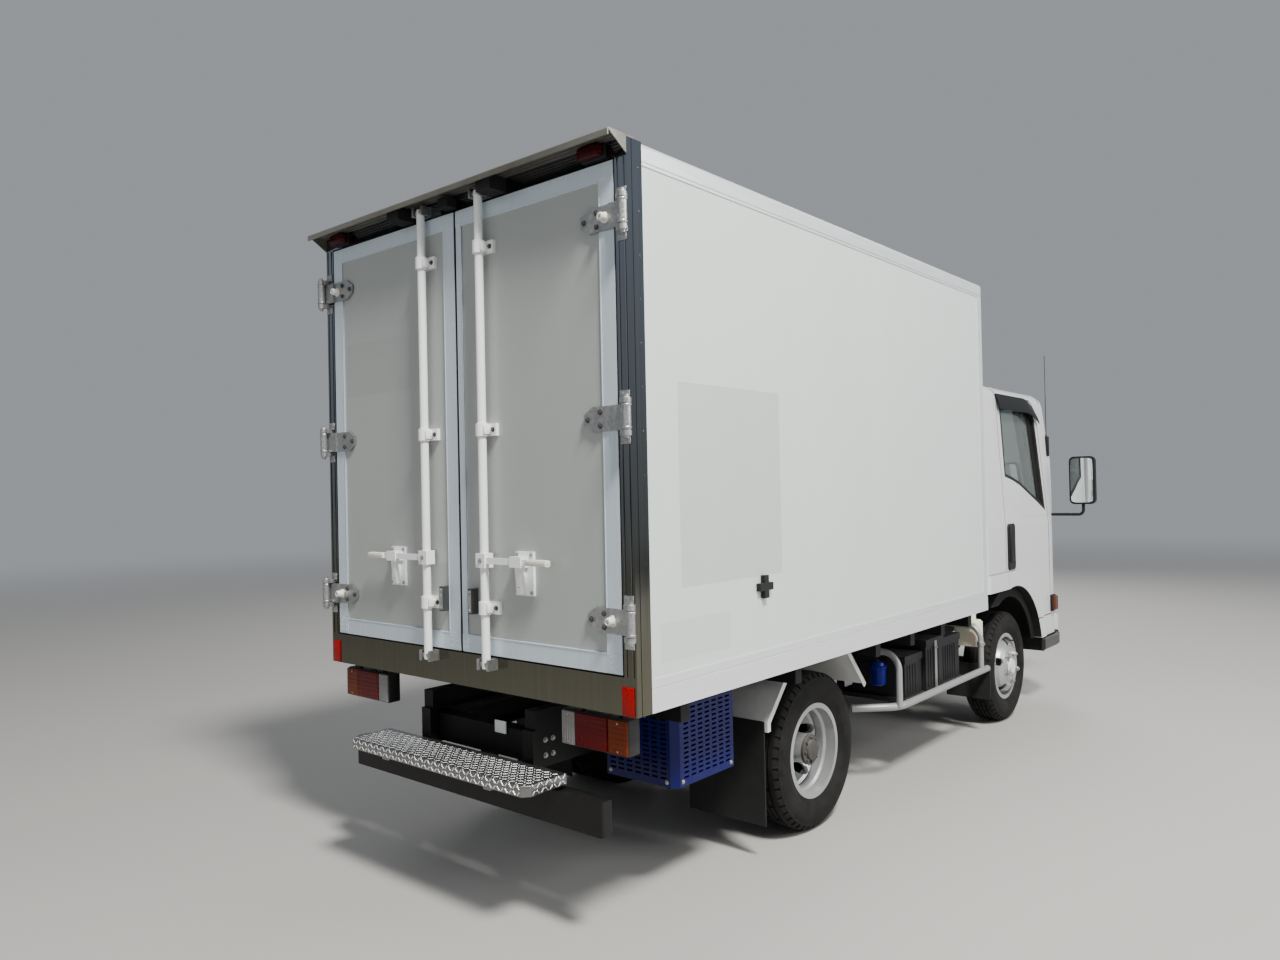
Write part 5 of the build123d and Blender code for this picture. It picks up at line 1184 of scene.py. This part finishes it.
# The hinges: galvanised straps bolted through the doors, turning on pins between lugs on the frame. The
# top and bottom ones carry a white rubber bumper that meets the wall when the door is back.
zinc_plate = Finish("zinc_plate", (0.55, 0.56, 0.57), metallic=0.9, roughness=0.38)
spangle = zinc_plate.cells(90)
zinc_plate.colour(spangle, (0.33, 0.335, 0.33), (0.45, 0.455, 0.45))
zinc_plate.dull(spangle, 0.3, 0.2)
zinc_plate.grain(0.0003, 200, 4)
cover(zinc_plate, "door_hinges_left", "door_hinges_right", "frame_fittings")
bolt_dull = sprayed("bolt_dull", (0.1, 0.1, 0.095), 0.45, 0.2, 0.9, metallic=0.7)
bumper_white = moulded("bumper_white", (0.72, 0.71, 0.66), 0.45)
hinge_heights = (1.16, 1.86, 2.555)
strap_face_x = at(-0.006)
barrel_x, barrel_y = at(-0.028), 0.942
low_hinge = hinge_heights[0]
for side, word in each_side:
    body = f"box_door_{word}"
    hinge_bolts = bolt(f"door_hinges_{word}_bolts", (strap_face_x, side * 0.741, low_hinge), (-1, 0, 0),
        10.5, 7)
    repeated(hinge_bolts, ((0, side * 0.06, 0.024), (0, side * 0.06, -0.024)))
    fit(at_heights(hinge_bolts, hinge_heights), bolt_dull, body)
    buffer = turned(f"door_hinges_{word}_buffers", (strap_face_x, side * 0.842, low_hinge), (-1, 0, 0),
        (0, 20, 4, 20, 6, 16, 26, 14.5, 30, 12.5, 31, 8.5, 22, 8, 21.5, 3), sides=28)
    fit(at_heights(buffer, hinge_heights[::2]), bumper_white, body)
    collar = turned(f"door_hinges_{word}_collars", (barrel_x, side * barrel_y, low_hinge + 0.034), (0, 0, 1),
        (0, 16.5, 2, 17.8, 6, 17.8, 8, 16.5), sides=24)
    repeated(collar, ((0, 0, -0.076),))
    fit(at_heights(collar, hinge_heights), zinc_plate, body)
pin_profile = (0, 14, 3, 13, 3.2, 9.5, 11, 9, 13, 6)
pin_ends, pin_feet = (turned("hinge_pin_ends", (barrel_x, barrel_y, low_hinge + way * 0.0635), (0, 0, way),
    pin_profile, sides=18) for way in (1, -1))
lug_bolts = bolt("lug_bolts", (at(-0.0002), 0.905, low_hinge + 0.08), (-1, 0, 0), 8, 5)
joined(lug_bolts, block("lug_feet", (-0.005, 0.0), (0.892, 0.936), (low_hinge + 0.06, low_hinge + 0.092),
    0.003))
joined(pin_ends, pin_feet, repeated(lug_bolts, ((0, 0, -0.152),)))
fit(both_sides(at_heights(pin_ends, hinge_heights)), zinc_plate)

# The lock gear: white painted tubes turned by a folding handle. Cams on their ends draw the doors
# against the frame's keepers, and two-bolt guides hold them to the door.
lock_white = sprayed("lock_white", (0.86, 0.875, 0.87), 0.3, 0.1, 1.2, coat=0.3)
fore, across, up = lock_white.axes()
catches = ((abs(abs(across + 0.014) - 0.09) < 0.024) * (up > 1.12) * (up < 1.25) * (fore > at(-0.05)))
lock_white.colour(catches, lock_white.coloured, (0.1, 0.1, 0.1))
lock_white.set("Metallic", catches * 0.8)
cover(lock_white, "lock_gear_left", "lock_gear_right")
grip_cream = moulded("grip_cream", (0.66, 0.64, 0.55), 0.4)
bar_x = at(-0.03)
guide_heights = (1.165, 1.856, 2.567)
handle_z = 1.35
low_guide = guide_heights[0]
for bar_y, side, word in ((0.169, 1, "left"), (-0.197, -1, "right")):
    body, gear = f"box_door_{word}", f"lock_gear_{word}"
    guide_bolts = bolt(f"{gear}_bolts", (at(-0.0122), bar_y - 0.044, low_guide), (-1, 0, 0), 10, 7)
    fit(at_heights(guide_bolts, guide_heights), bolt_dull, body)
    lips = turned(f"{gear}_lips", (bar_x, bar_y, low_guide - 0.0265), (0, 0, 1),
        (0, 17.5, 1, 21.5, 6, 21.5, 6.5, 24, 47.5, 24, 48, 21.5, 53, 21.5, 54, 17.5), sides=32)
    joined(lips, block("guide_web", (-0.044, -0.0115), (bar_y - 0.03, bar_y - 0.02),
        (low_guide - 0.018, low_guide + 0.018), 0.003))
    at_heights(lips, guide_heights)
    for cam_z, way in ((0.935, -1), (2.784, 1)):
        joined(lips, turned("cam_end", (bar_x, bar_y, cam_z), (0, 0, way), (0, 17, 4, 16.5, 6, 12),
            sides=24))
    fit(lips, lock_white, body)
    cams = block(f"{gear}_cams", (-0.046, -0.014), (bar_y - 0.021, bar_y + 0.021), (0.939, 0.957), 0.005, 3)
    fit(repeated(cams, ((0, 0, 1.829),)), bolt_zinc, body)
    grip = block(f"{gear}_grip", (-0.0535, -0.0265), (side * 0.448, side * 0.5615),
        (handle_z - 0.0125, handle_z + 0.0125), 0.009, 4)
    fit(grip, grip_cream, body)
    hasp_screws = bolt("hasp_screws", (at(-0.0081), side * 0.362, 1.234), (-1, 0, 0), 7.5, 4)
    repeated(hasp_screws, ((0, side * 0.076, 0), (0, 0, 0.142), (0, side * 0.076, 0.142)))
    pivot = bolt(f"{gear}_pivot", (at(-0.052), bar_y, handle_z), (-1, 0, 0), 10)
    fit(joined(pivot, hasp_screws), bolt_zinc, body)
    lever_foot, lever_top = 1.228, 1.336
    lever = block(f"{gear}_lever", (-0.03, -0.0075), (side * 0.376, side * 0.412), (lever_foot, lever_top),
        0.006, 3)
    for point in lever.data.vertices:
        if point.co.x < at(-0.02):
            point.co.x -= 0.01 * (point.co.z - lever_foot) / (lever_top - lever_foot)
    fit(lever, lock_white, body)
    keyhole = turned(f"{gear}_keyhole", (at(-0.0315), side * 0.394, 1.262), (-1, 0, 0),
        (-2, 8.5, 1, 8.5, 1.2, 6, -1, 5), sides=20)
    fit(keyhole, trim_black, body)
    latch_y = -0.014 + side * 0.09
    latch = block(f"{gear}_latch", (-0.0325, -0.0295), (latch_y - 0.0085, latch_y + 0.0085), (1.14, 1.228),
        0.004)
    latch_clip = block("latch_clip", (-0.039, -0.031), (latch_y - 0.006, latch_y + 0.006), (1.168, 1.204),
        0.003)
    latch_screws = bolt("latch_screws", (at(-0.0325), latch_y, 1.149), (-1, 0, 0), 5, 3)
    repeated(latch_screws, ((0, 0, 0.07),))
    fit(joined(latch, latch_clip, latch_screws), bolt_zinc, body)
